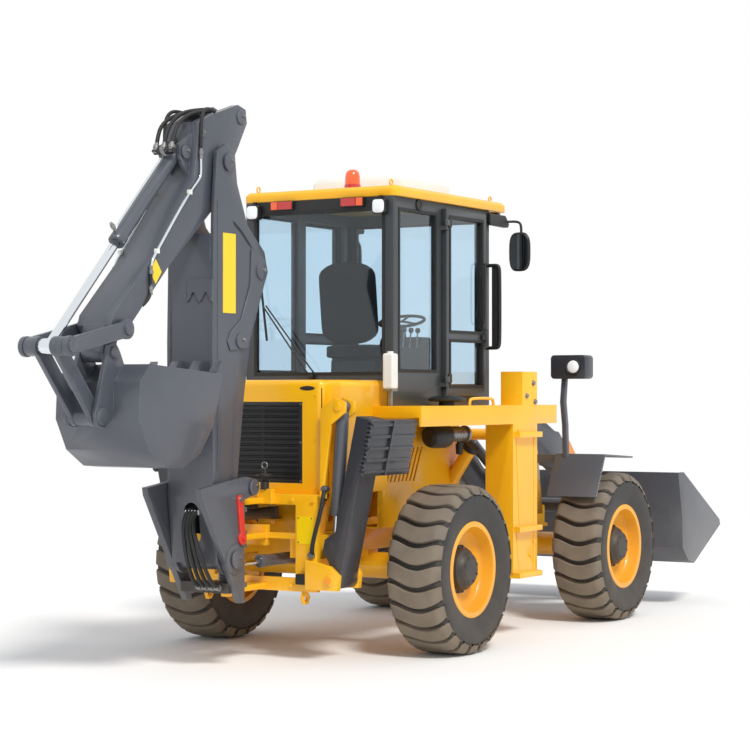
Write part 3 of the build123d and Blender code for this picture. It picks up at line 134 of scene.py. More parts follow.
class Graph:
    """Adds and joins the nodes of one tree."""

    def __init__(self, tree: bpy.types.NodeTree) -> None:
        """Takes the tree to work on."""
        self.tree = tree

    def node(self, kind: str, **settings: object) -> bpy.types.Node:
        """Adds a node.

        Args:
            kind: Blender's identifier of the node.
            **settings: Values of the node's own properties.

        Returns:
            The new node.
        """
        made = self.tree.nodes.new(kind)
        for key, value in settings.items():
            setattr(made, key, value)
        return made

    def join(self, source: bpy.types.NodeSocket, target: bpy.types.NodeSocket) -> None:
        """Links an output to an input."""
        self.tree.links.new(source, target)

    def math(self, operation: str, first: object, second: object) -> bpy.types.NodeSocket:
        """Adds a Math node.

        Args:
            operation: Name of the operation.
            first: Socket or number for the first input.
            second: Socket or number for the second input.

        Returns:
            The node's result, clamped to 0 and 1.
        """
        made = self.node("ShaderNodeMath", operation=operation, use_clamp=True)
        for socket, value in zip(made.inputs, (first, second)):
            if isinstance(value, bpy.types.NodeSocket):
                self.join(value, socket)
            else:
                socket.default_value = value
        return made.outputs[0]

    def mix(self, share: object, first: object, second: object) -> bpy.types.NodeSocket:
        """Adds a colour mix.

        Args:
            share: Socket or number that says how much of the second colour shows.
            first: Socket or colour that shows at 0.
            second: Socket or colour that shows at 1.

        Returns:
            The mixed colour.
        """
        made = self.node("ShaderNodeMix", data_type="RGBA")
        for index, value in ((0, share), (6, first), (7, second)):
            if isinstance(value, bpy.types.NodeSocket):
                self.join(value, made.inputs[index])
            else:
                made.inputs[index].default_value = value
        return made.outputs[2]


class SharedEffects:
    """Shader node groups that more than one material uses, each built once."""

    def __init__(self) -> None:
        """Builds all the groups."""
        self.mottle = self._mottle()
        self.ground_dust = self._ground_dust()
        self.edge_wear = self._edge_wear()
        self.grain = self._grain()

    @staticmethod
    def _group(name: str, inputs: Iterable[tuple[str, str]], outputs: Iterable[tuple[str, str]]) -> Graph:
        """Starts a group with its sockets.

        Args:
            name: Name of the group.
            inputs: Name and kind of each input.
            outputs: Name and kind of each output.

        Returns:
            The graph of the new group.
        """
        tree = bpy.data.node_groups.new(name, "ShaderNodeTree")
        for label, kind in inputs:
            tree.interface.new_socket(label, in_out="INPUT", socket_type=f"NodeSocket{kind}")
        for label, kind in outputs:
            tree.interface.new_socket(label, in_out="OUTPUT", socket_type=f"NodeSocket{kind}")
        return Graph(tree)

    @staticmethod
    def _noise(graph: Graph, scale: object, detail: float) -> bpy.types.NodeSocket:
        """Adds noise on Object coordinates.

        Args:
            graph: Graph to add it to.
            scale: Socket or number for the noise's scale.
            detail: Octaves of the noise.

        Returns:
            The noise's value.
        """
        place = graph.node("ShaderNodeTexCoord")
        noise = graph.node("ShaderNodeTexNoise")
        noise.inputs["Detail"].default_value = detail
        graph.join(place.outputs["Object"], noise.inputs["Vector"])
        if isinstance(scale, bpy.types.NodeSocket):
            graph.join(scale, noise.inputs["Scale"])
        else:
            noise.inputs["Scale"].default_value = scale
        return noise.outputs[0]

    def _mottle(self) -> bpy.types.NodeTree:
        """Builds the uneven colour of paint, rubber and plastic."""
        graph = self._group(
            "uneven_colour",
            (("Color", "Color"), ("Shade", "Color"), ("Scale", "Float"), ("Amount", "Float")),
            (("Color", "Color"),),
        )
        given = graph.node("NodeGroupInput").outputs
        noise = self._noise(graph, given["Scale"], 4)
        stretched = graph.math("MULTIPLY", graph.math("SUBTRACT", noise, 0.35), 3.0)
        share = graph.math("MULTIPLY", stretched, given["Amount"])
        result = graph.mix(share, given["Color"], given["Shade"])
        graph.join(result, graph.node("NodeGroupOutput").inputs[0])
        return graph.tree

    def _ground_dust(self) -> bpy.types.NodeTree:
        """Builds the dust that thins out with height."""
        graph = self._group(
            "ground_dust",
            (("Color", "Color"), ("Dust", "Color"), ("Height", "Float"), ("Amount", "Float")),
            (("Color", "Color"), ("Mask", "Float")),
        )
        given = graph.node("NodeGroupInput").outputs
        place = graph.node("ShaderNodeTexCoord")
        split = graph.node("ShaderNodeSeparateXYZ")
        graph.join(place.outputs["Object"], split.inputs[0])
        fade = graph.math("SUBTRACT", 1.0, graph.math("DIVIDE", split.outputs["Z"], given["Height"]))
        noise = self._noise(graph, 9.0, 6)
        patchy = graph.math("MULTIPLY", fade, graph.math("MULTIPLY", noise, 1.6))
        share = graph.math("MULTIPLY", patchy, given["Amount"])
        result = graph.mix(share, given["Color"], given["Dust"])
        shown = graph.node("NodeGroupOutput")
        graph.join(result, shown.inputs[0])
        graph.join(share, shown.inputs[1])
        return graph.tree

    def _edge_wear(self) -> bpy.types.NodeTree:
        """Builds the wear along edges, where a rounded normal leaves the real one."""
        graph = self._group(
            "edge_wear",
            (("Color", "Color"), ("Wear", "Color"), ("Width", "Float"), ("Amount", "Float")),
            (("Color", "Color"), ("Mask", "Float")),
        )
        given = graph.node("NodeGroupInput").outputs
        rounded = graph.node("ShaderNodeBevel", samples=4)
        graph.join(given["Width"], rounded.inputs["Radius"])
        surface = graph.node("ShaderNodeNewGeometry")
        product = graph.node("ShaderNodeVectorMath", operation="DOT_PRODUCT")
        graph.join(rounded.outputs[0], product.inputs[0])
        graph.join(surface.outputs["Normal"], product.inputs[1])
        edge = graph.math("MULTIPLY", graph.math("SUBTRACT", 1.0, product.outputs["Value"]), 5.0)
        noise = graph.math("SUBTRACT", self._noise(graph, 22.0, 5), 0.42)
        chipped = graph.math("MULTIPLY", edge, graph.math("MULTIPLY", noise, 7.0))
        share = graph.math("MULTIPLY", chipped, given["Amount"])
        result = graph.mix(share, given["Color"], given["Wear"])
        shown = graph.node("NodeGroupOutput")
        graph.join(result, shown.inputs[0])
        graph.join(share, shown.inputs[1])
        return graph.tree

    def _grain(self) -> bpy.types.NodeTree:
        """Builds the fine bump of a sprayed, cast or moulded surface."""
        graph = self._group(
            "surface_grain", (("Scale", "Float"), ("Strength", "Float")), (("Normal", "Vector"),)
        )
        given = graph.node("NodeGroupInput").outputs
        bump = graph.node("ShaderNodeBump")
        bump.inputs["Distance"].default_value = 0.002
        graph.join(self._noise(graph, given["Scale"], 3), bump.inputs["Height"])
        graph.join(given["Strength"], bump.inputs["Strength"])
        graph.join(bump.outputs[0], graph.node("NodeGroupOutput").inputs[0])
        return graph.tree


@dataclass(frozen=True)
class Finish:
    """One finish: its colours, gloss and the strength of each shared effect."""

    slot: str
    colour: tuple[float, float, float]
    shade: tuple[float, float, float]
    rough: float = 0.4
    metal: float = 0.0
    coat: float = 0.0
    mottle: float = 0.5
    mottle_scale: float = 2.5
    grain: float = 0.15
    grain_scale: float = 260.0
    dust: float = 0.0
    wear: float = 0.0
    clear: float = 0.0
    glow: float = 0.0

    def material(self, name: str, effects: SharedEffects) -> bpy.types.Material:
        """Builds the material.

        Args:
            name: Name of the material.
            effects: The shared node groups.

        Returns:
            The new material.
        """
        made = bpy.data.materials.new(name)
        made.use_nodes = True
        graph = Graph(made.node_tree)
        shader = made.node_tree.nodes["Principled BSDF"]
        shader.inputs["Roughness"].default_value = self.rough
        shader.inputs["Metallic"].default_value = self.metal
        shader.inputs["Coat Weight"].default_value = self.coat
        shader.inputs["Coat Roughness"].default_value = 0.08
        colour = self._effect(
            graph, effects.mottle, Color=linear(*self.colour), Shade=linear(*self.shade),
            Scale=self.mottle_scale, Amount=self.mottle,
        )
        if self.dust:
            worn = self._effect(
                graph, effects.ground_dust, Dust=linear(150, 132, 108), Height=1.5, Amount=self.dust,
            )
            graph.join(colour.outputs[0], worn.inputs["Color"])
            colour = worn
        if self.wear:
            worn = self._effect(
                graph, effects.edge_wear, Wear=linear(150, 150, 152), Width=0.006, Amount=self.wear,
            )
            graph.join(colour.outputs[0], worn.inputs["Color"])
            colour = worn
        graph.join(colour.outputs[0], shader.inputs["Base Color"])
        if self.grain:
            grain = self._effect(graph, effects.grain, Scale=self.grain_scale, Strength=self.grain)
            graph.join(grain.outputs[0], shader.inputs["Normal"])
        if self.clear:
            shader.inputs["Transmission Weight"].default_value = self.clear
            shader.inputs["IOR"].default_value = 1.45
        if self.glow:
            shader.inputs["Emission Color"].default_value = linear(*self.colour)
            shader.inputs["Emission Strength"].default_value = self.glow
        return made

    @staticmethod
    def _effect(graph: Graph, group: bpy.types.NodeTree, **values: object) -> bpy.types.Node:
        """Places a shared effect with its own values.

        Args:
            graph: Graph of the material.
            group: The shared node group.
            **values: Value of each named input.

        Returns:
            The group's node.
        """
        placed = graph.node("ShaderNodeGroup", node_tree=group)
        for label, value in values.items():
            placed.inputs[label].default_value = value
        return placed


class Coat(Enum):
    """The finishes that the machine's surfaces have."""

    YELLOW = Finish("yellow", (255, 190, 16), (246, 172, 8), 0.34, coat=0.3, dust=0.12, wear=0.12)
    RIM_YELLOW = Finish("yellow", (250, 176, 18), (232, 150, 10), 0.38, coat=0.2, dust=0.2)
    SLATE = Finish("slate", (80, 84, 93), (68, 72, 81), 0.4, coat=0.25, dust=0.2, wear=0.5)
    # Slate darkened for painted shade: the stabiliser legs, their teeth and rib, and the head lamps take this
    # shaded copy of SLATE.
    DEEP_SLATE = Finish("slate", (47, 49, 56), (38, 40, 46), 0.42, coat=0.2, dust=0.12, wear=0.4)
    CAB_GREY = Finish("slate", (61, 65, 68), (52, 56, 59), 0.42, coat=0.15, dust=0.1, wear=0.2)
    DARK = Finish("dark_metal", (40, 42, 46), (30, 31, 34), 0.5, metal=0.3, dust=0.3, wear=0.3)
    STEEL = Finish(
        "dark_metal", (150, 150, 150), (118, 116, 112), 0.36, metal=0.9, mottle_scale=18, grain=0.1
    )
    CHROME = Finish("chrome", (226, 232, 236), (208, 214, 220), 0.09, metal=1.0, grain=0.02, mottle=0.3)
    TREAD = Finish(
        "tyre", (122, 113, 102), (98, 90, 82), 0.85, mottle_scale=7, mottle=0.8, grain=0.5, dust=0.5
    )
    TYRE_WALL = Finish("tyre", (40, 41, 44), (32, 33, 36), 0.62, mottle_scale=5, grain=0.3, dust=0.18)
    BLACK = Finish("black_plastic", (26, 27, 29), (18, 18, 20), 0.45, grain=0.25, grain_scale=700)
    # Black rubber of hoses, gaskets and grips; the flat ovals on the hood also use it as painted shade for
    # the hand holes.
    RUBBER = Finish("black_plastic", (30, 30, 31), (20, 20, 21), 0.6, grain=0.4, grain_scale=900)
    # Dark plastic of the cab's interior and the grille screen; the thin sheets for the boom's slots use it as
    # painted shade.
    INSIDE = Finish("black_plastic", (38, 42, 44), (28, 31, 33), 0.7, grain=0.3, grain_scale=500)
    WHITE = Finish("white_plastic", (238, 238, 234), (224, 224, 218), 0.38, grain=0.1, mottle_scale=5)
    GLASS = Finish("black_plastic", (218, 235, 245), (212, 231, 243), 0.02, grain=0, clear=1.0)
    CLEAR_LENS = Finish("white_plastic", (236, 240, 244), (222, 228, 232), 0.08, grain=0, glow=0.15)
    RED_LENS = Finish("black_plastic", (196, 22, 16), (150, 12, 10), 0.12, coat=1.0, grain=0.1, glow=0.08)
    AMBER_LENS = Finish("white_plastic", (240, 92, 14), (214, 70, 8), 0.14, coat=1.0, grain=0.1, glow=0.12)
    MIRROR = Finish("chrome", (206, 214, 220), (196, 204, 210), 0.03, metal=1.0, grain=0)
    RED = Finish("dark_metal", (222, 52, 38), (196, 40, 30), 0.38, coat=0.3, wear=0.4)
    PLATE = Finish("yellow", (252, 214, 14), (246, 204, 8), 0.3, coat=0.2, grain=0.05)
    SIGN = Finish("yellow", (248, 150, 30), (240, 138, 24), 0.3, coat=0.3, grain=0.05)
    FABRIC = Finish(
        "black_plastic", (18, 20, 22), (12, 14, 15), 0.88, dust=0.02, grain=0.7, grain_scale=1400,
        mottle_scale=30
    )


class Palette:
    """Makes each finish's material once and hands it out."""

    def __init__(self) -> None:
        """Starts with no material made."""
        self._effects = SharedEffects()
        self._made: dict[Coat, bpy.types.Material] = {}

    def __getitem__(self, coat: Coat) -> bpy.types.Material:
        """Returns the material of a finish."""
        if coat not in self._made:
            self._made[coat] = coat.value.material(coat.name.lower(), self._effects)
        return self._made[coat]


class Shape:
    """A mesh in the making, of closed shells in metres in the machine's frame."""

    def __init__(self) -> None:
        """Starts empty."""
        self.mesh = bmesh.new()

    def loft(self, rings: Sequence[Sequence[Point]], closed: bool = False) -> "Shape":
        """Adds a shell through rings of as many points.

        Args:
            rings: The rings in order, each a closed loop of points.
            closed: Whether the last ring joins the first, as in a turned piece.

        Returns:
            This shape.
        """
        made = [[self.mesh.verts.new(point) for point in ring] for ring in rings]
        pairs = list(zip(made, made[1:] + made[:1])) if closed else list(zip(made, made[1:]))
        for near, far in pairs:
            for index in range(len(near)):
                after = (index + 1) % len(near)
                self.mesh.faces.new((near[index], near[after], far[after], far[index]))
        if not closed:
            self.mesh.faces.new(made[0][::-1])
            self.mesh.faces.new(made[-1])
        return self

    def prism(self, outline: Outline, axis: Axis, start: float, end: float) -> "Shape":
        """Adds a plate of one outline.

        Args:
            outline: The other two coordinates of each corner, in order.
            axis: Direction through the plate.
            start: Place of one face.
            end: Place of the other face.

        Returns:
            This shape.
        """
        return self.loft([[axis.point(place, *corner) for corner in outline] for place in (start, end)])

    def box(self, low: Point, high: Point) -> "Shape":
        """Adds a box between two corners."""
        outline = [(low[0], low[1]), (high[0], low[1]), (high[0], high[1]), (low[0], high[1])]
        return self.prism(outline, Axis.Z, low[2], high[2])

    def turned(self, profile: Outline, centre: Point, axis: Point, sides: int = 48) -> "Shape":
        """Adds a turned piece.

        Args:
            profile: Closed outline as (place along the axis, radius), or open where it ends on the axis.
            centre: Point on the axis where the profile's places start.
            axis: Direction of the axis.
            sides: Number of sides round the axis.

        Returns:
            This shape.
        """
        turn = Vector((0, 0, 1)).rotation_difference(Vector(axis)).to_matrix()
        on_axis = profile[0][1] < 1e-6 or profile[-1][1] < 1e-6
        inner = [p for p in profile if p[1] > 1e-6] if on_axis else list(profile)
        rings = []
        for step in range(sides):
            angle = math.tau * step / sides
            spoke = Vector((math.cos(angle), math.sin(angle), 0))
            rings.append([Vector(centre) + turn @ (spoke * r + Vector((0, 0, a))) for a, r in inner])
        made = [[self.mesh.verts.new(point) for point in ring] for ring in rings]
        for near, far in zip(made, made[1:] + made[:1]):
            count = len(inner) if not on_axis else len(inner) - 1
            for index in range(count):
                after = (index + 1) % len(inner)
                self.mesh.faces.new((near[index], near[after], far[after], far[index]))
        if on_axis:
            self.mesh.faces.new([ring[0] for ring in made])
            self.mesh.faces.new([ring[-1] for ring in made][::-1])
        return self

    def bar(self, start: Point, end: Point, radius: float, sides: int = 20) -> "Shape":
        """Adds a round bar from one point to another."""
        run = Vector(end) - Vector(start)
        return self.turned([(0, 0), (0, radius), (run.length, radius), (run.length, 0)], start, run, sides)

    def done(self, name: str, material: bpy.types.Material, round_edges: float = 0.0) -> bpy.types.Object:
        """Makes the object.

        Args:
            name: Name of the piece.
            material: Its material.
            round_edges: Width of the rounding along its sharp edges.

        Returns:
            The finished object at the origin.
        """
        bmesh.ops.recalc_face_normals(self.mesh, faces=self.mesh.faces)
        data = bpy.data.meshes.new(name)
        self.mesh.to_mesh(data)
        self.mesh.free()
        return finished(name, data, material, round_edges)


def finished(
    name: str, data: bpy.types.Mesh, material: bpy.types.Material, round_edges: float = 0.0,
    angle: float = 35.0,
) -> bpy.types.Object:
    """Makes an object of a mesh, with rounded sharp edges and smooth faces.

    Args:
        name: Name of the piece.
        data: The mesh, in place.
        material: Its material.
        round_edges: Width of the rounding, or 0 for none.
        angle: Smallest angle in degrees of an edge that counts as sharp.

    Returns:
        The object, linked to the scene.
    """
    data.materials.clear()
    data.materials.append(material)
    piece = bpy.data.objects.new(name, data)
    bpy.context.scene.collection.objects.link(piece)
    data.shade_smooth()
    if round_edges:
        bevel = piece.modifiers.new("rounded", "BEVEL")
        bevel.width = round_edges
        bevel.segments = 2
        bevel.limit_method = "ANGLE"
        bevel.angle_limit = math.radians(angle)
        bevel.harden_normals = True
        bake(piece)
    else:
        data.set_sharp_from_angle(angle=math.radians(angle))
    return piece


def bake(piece: bpy.types.Object) -> bpy.types.Object:
    """Turns a piece with modifiers into a plain mesh of the same look."""
    graph = bpy.context.evaluated_depsgraph_get()
    plain = bpy.data.meshes.new_from_object(piece.evaluated_get(graph), depsgraph=graph)
    piece.modifiers.clear()
    if piece.type == "MESH":
        piece.data = plain
        return piece
    name = piece.name
    swapped = bpy.data.objects.new(f"{name}_mesh", plain)
    bpy.context.scene.collection.objects.link(swapped)
    bpy.data.objects.remove(piece)
    swapped.name = name
    return swapped


class Repeater:
    """Geometry Nodes trees that repeat a piece: round an axis, in a row, or at given points."""

    def __init__(self) -> None:
        """Builds the trees."""
        self._round = self._tree("copies_round_axis", ("Centre", "Axis"), self._round_axis)
        self._row = self._tree("copies_in_row", ("Step",), self._in_row)
        self._points = self._tree("copies_at_points", (), self._at_points)

    @staticmethod
    def _tree(name: str, vectors: Iterable[str], body: object) -> bpy.types.NodeTree:
        """Starts a tree, builds its middle and ends it in real geometry with a material.

        Args:
            name: Name of the tree.
            vectors: Names of its vector inputs.
            body: Function that builds the middle and returns the instances' socket.

        Returns:
            The finished tree.
        """
        tree = bpy.data.node_groups.new(name, "GeometryNodeTree")
        tree.interface.new_socket("Geometry", in_out="INPUT", socket_type="NodeSocketGeometry")
        tree.interface.new_socket("Count", in_out="INPUT", socket_type="NodeSocketInt")
        for label in vectors:
            tree.interface.new_socket(label, in_out="INPUT", socket_type="NodeSocketVector")
        tree.interface.new_socket("Piece", in_out="INPUT", socket_type="NodeSocketObject")
        tree.interface.new_socket("Material", in_out="INPUT", socket_type="NodeSocketMaterial")
        tree.interface.new_socket("Geometry", in_out="OUTPUT", socket_type="NodeSocketGeometry")
        graph = Graph(tree)
        given = graph.node("NodeGroupInput").outputs
        copies = body(graph, given)
        real = graph.node("GeometryNodeRealizeInstances")
        coated = graph.node("GeometryNodeSetMaterial")
        graph.join(copies, real.inputs[0])
        graph.join(real.outputs[0], coated.inputs["Geometry"])
        graph.join(given["Material"], coated.inputs["Material"])
        graph.join(coated.outputs[0], graph.node("NodeGroupOutput").inputs[0])
        return tree

    @staticmethod
    def _vector(graph: Graph, operation: str, first: object, second: object) -> bpy.types.Node:
        """Adds a vector sum whose inputs are sockets.

        Args:
            graph: Graph to add it to.
            operation: Name of the operation.
            first: First socket.
            second: Second socket; a number goes to Scale.

        Returns:
            The node.
        """
        made = graph.node("ShaderNodeVectorMath", operation=operation)
        graph.join(first, made.inputs[0])
        graph.join(second, made.inputs["Scale"] if operation == "SCALE" else made.inputs[1])
        return made

    def _round_axis(self, graph: Graph, given: object) -> bpy.types.NodeSocket:
        """Instances of the piece turned about an axis through a centre."""
        index = graph.node("GeometryNodeInputIndex").outputs[0]
        share = graph.node("ShaderNodeMath", operation="DIVIDE")
        graph.join(index, share.inputs[0])
        graph.join(given["Count"], share.inputs[1])
        angle = graph.node("ShaderNodeMath", operation="MULTIPLY")
        angle.inputs[1].default_value = math.tau
        graph.join(share.outputs[0], angle.inputs[0])
        turn = graph.node("FunctionNodeAxisAngleToRotation")
        graph.join(given["Axis"], turn.inputs["Axis"])
        graph.join(angle.outputs[0], turn.inputs["Angle"])
        back = graph.node("ShaderNodeVectorMath", operation="SCALE")
        back.inputs["Scale"].default_value = -1
        graph.join(given["Centre"], back.inputs[0])
        centred = graph.node("GeometryNodeTransform")
        graph.join(given["Geometry"], centred.inputs["Geometry"])
        graph.join(back.outputs[0], centred.inputs["Translation"])
        points = graph.node("GeometryNodePoints")
        graph.join(given["Count"], points.inputs["Count"])
        graph.join(given["Centre"], points.inputs["Position"])
        placed = graph.node("GeometryNodeInstanceOnPoints")
        graph.join(points.outputs[0], placed.inputs["Points"])
        graph.join(centred.outputs[0], placed.inputs["Instance"])
        graph.join(turn.outputs[0], placed.inputs["Rotation"])
        return placed.outputs[0]

    def _in_row(self, graph: Graph, given: object) -> bpy.types.NodeSocket:
        """Instances of the piece a step apart."""
        index = graph.node("GeometryNodeInputIndex").outputs[0]
        place = self._vector(graph, "SCALE", given["Step"], index)
        points = graph.node("GeometryNodePoints")
        graph.join(given["Count"], points.inputs["Count"])
        graph.join(place.outputs[0], points.inputs["Position"])
        placed = graph.node("GeometryNodeInstanceOnPoints")
        graph.join(points.outputs[0], placed.inputs["Points"])
        graph.join(given["Geometry"], placed.inputs["Instance"])
        return placed.outputs[0]

    @staticmethod
    def _at_points(graph: Graph, given: object) -> bpy.types.NodeSocket:
        """Instances of another object at the points of the mesh."""
        other = graph.node("GeometryNodeObjectInfo")
        graph.join(given["Piece"], other.inputs[0])
        placed = graph.node("GeometryNodeInstanceOnPoints")
        graph.join(given["Geometry"], placed.inputs["Points"])
        graph.join(other.outputs["Geometry"], placed.inputs["Instance"])
        return placed.outputs[0]

    @staticmethod
    def _apply(piece: bpy.types.Object, tree: bpy.types.NodeTree, **values: object) -> bpy.types.Object:
        """Runs a tree on a piece and keeps the result as its mesh.

        Args:
            piece: The object.
            tree: The tree.
            **values: Value of each named input.

        Returns:
            The same object.
        """
        modifier = piece.modifiers.new(tree.name, "NODES")
        modifier.node_group = tree
        for item in tree.interface.items_tree:
            if item.in_out == "INPUT" and item.name in values:
                modifier[item.identifier] = values[item.name]
        return bake(piece)

    def round_axis(self, piece: bpy.types.Object, count: int, centre: Point, axis: Point) -> bpy.types.Object:
        """Repeats a piece round an axis.

        Args:
            piece: The first copy, in place.
            count: Number of copies.
            centre: Point on the axis.
            axis: Direction of the axis.

        Returns:
            The piece with all its copies.
        """
        material = piece.data.materials[0]
        return self._apply(
            piece, self._round, Count=count, Centre=tuple(centre), Axis=tuple(axis), Material=material
        )

    def row(self, piece: bpy.types.Object, count: int, step: Point) -> bpy.types.Object:
        """Repeats a piece in a row.

        Args:
            piece: The first copy, in place.
            count: Number of copies.
            step: Move from each copy to the next.

        Returns:
            The piece with all its copies.
        """
        return self._apply(piece, self._row, Count=count, Step=tuple(step), Material=piece.data.materials[0])

    def at_points(self, name: str, piece: bpy.types.Object, points: Iterable[Point]) -> bpy.types.Object:
        """Puts a copy of a piece at each point and removes the piece itself.

        Args:
            name: Name of the result.
            piece: The piece, made round the origin.
            points: Places of the copies.

        Returns:
            One object with all the copies.
        """
        data = bpy.data.meshes.new(name)
        data.from_pydata([tuple(point) for point in points], [], [])
        holder = bpy.data.objects.new(name, data)
        bpy.context.scene.collection.objects.link(holder)
        self._apply(holder, self._points, Piece=piece, Material=piece.data.materials[0])
        bpy.data.objects.remove(piece)
        return holder


class Workshop:
    """What every sub-assembly uses: the frame, the materials, the repeater and how a piece is fitted."""

    def __init__(self, frame: dict) -> None:
        self.frame = frame
        self.palette = Palette()
        self.repeater = Repeater()
        bodies = frame["record"]["behaviour"]["bodies"]
        self.body_of = {node: body for body, nodes in bodies.items() for node in nodes}

    def fit(self, piece: bpy.types.Object, body: str, coat: Coat, *nodes: str) -> bpy.types.Object:
        """Fits a finished piece to a body.

        Args:
            piece: The piece.
            body: Body that it rides on, or nothing for a hose that rides on no body.
            coat: Its finish; not used.
            *nodes: Construction nodes that it stands for.

        Returns:
            The piece.
        """
        if body:
            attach(piece, body)
        if nodes:
            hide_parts(*nodes)
        LOG.info("%s rides on %s", piece.name, body or "two bodies")
        return piece

    def make(
        self, shape: Shape, name: str, body: str, coat: Coat, round_edges: float = 0.0
    ) -> bpy.types.Object:
        """Finishes a shape and fits it to a body."""
        return self.fit(shape.done(name, self.palette[coat], round_edges), body, coat)

    def skin(
        self, node: str, coat: Coat, round_edges: float = 0.003, angle: float = 35.0
    ) -> bpy.types.Object:
        """Dresses a construction node with a copy whose sharp edges are rounded.

        Args:
            node: Name of the node.
            coat: Finish of the copy.
            round_edges: Width of the rounding.
            angle: Smallest angle in degrees of an edge that counts as sharp.

        Returns:
            The copy, which stands for the node.
        """
        mesh = bmesh.new()
        mesh.from_mesh(self.frame["nodes"][node].data)
        bmesh.ops.remove_doubles(mesh, verts=mesh.verts, dist=1e-5)
        bmesh.ops.dissolve_limit(
            mesh, angle_limit=math.radians(0.5), verts=mesh.verts, edges=mesh.edges,
            use_dissolve_boundaries=False,
        )
        name = f"{node}_finish"
        data = bpy.data.meshes.new(name)
        mesh.to_mesh(data)
        mesh.free()
        for layer in list(data.uv_layers):
            data.uv_layers.remove(layer)
        piece = finished(name, data, self.palette[coat], round_edges, angle)
        return self.fit(piece, self.body_of[node], coat, node)

    def tube(
        self, name: str, body: str, coat: Coat, points: Sequence[Point], radius: float, smooth: bool = True,
    ) -> bpy.types.Object:
        """Makes a hose or pipe along points.

        Args:
            name: Name of the piece.
            body: Body that it rides on.
            coat: Its finish.
            points: Control points from one end to the other.
            radius: Outer radius.
            smooth: Whether the line bends smoothly, as a hose does.

        Returns:
            The piece.
        """
        curve = bpy.data.curves.new(name, "CURVE")
        curve.dimensions = "3D"
        spline = curve.splines.new("NURBS" if smooth else "POLY")
        spline.points.add(len(points) - 1)
        for knot, point in zip(spline.points, points):
            knot.co = (*point, 1)
        if smooth:
            spline.order_u = 3
            spline.use_endpoint_u = True
            spline.resolution_u = 6
        curve.bevel_depth = radius
        curve.bevel_resolution = 3
        curve.use_fill_caps = True
        curve.materials.append(self.palette[coat])
        piece = bpy.data.objects.new(name, curve)
        bpy.context.scene.collection.objects.link(piece)
        piece = bake(piece)
        piece.data.shade_smooth()
        piece.data.set_sharp_from_angle(angle=math.radians(50))
        return self.fit(piece, body, coat)

    def bolts(
        self, name: str, body: str, points: Iterable[Point], axis: Point, size: float = 0.012,
        coat: Coat = Coat.STEEL,
    ) -> bpy.types.Object:
        """Makes bolt heads with their washers.

        Args:
            name: Name of the piece.
            body: Body that they ride on.
            points: Places of the bolts on the surface.
            axis: Direction out of the surface.
            size: Radius of a head over its corners.
            coat: Their finish.

        Returns:
            One piece with all the bolts.
        """
        head = Shape()
        head.turned(
            [(0, 0), (0, size * 1.35), (size * 0.25, size * 1.35), (size * 0.25, 0)], (0, 0, 0), axis, 14
        )
        head.turned([(size * 0.2, 0), (size * 0.2, size), (size, size), (size, 0)], (0, 0, 0), axis, 6)
        unit = head.done(f"{name}_unit", self.palette[coat])
        return self.fit(self.repeater.at_points(name, unit, points), body, coat)


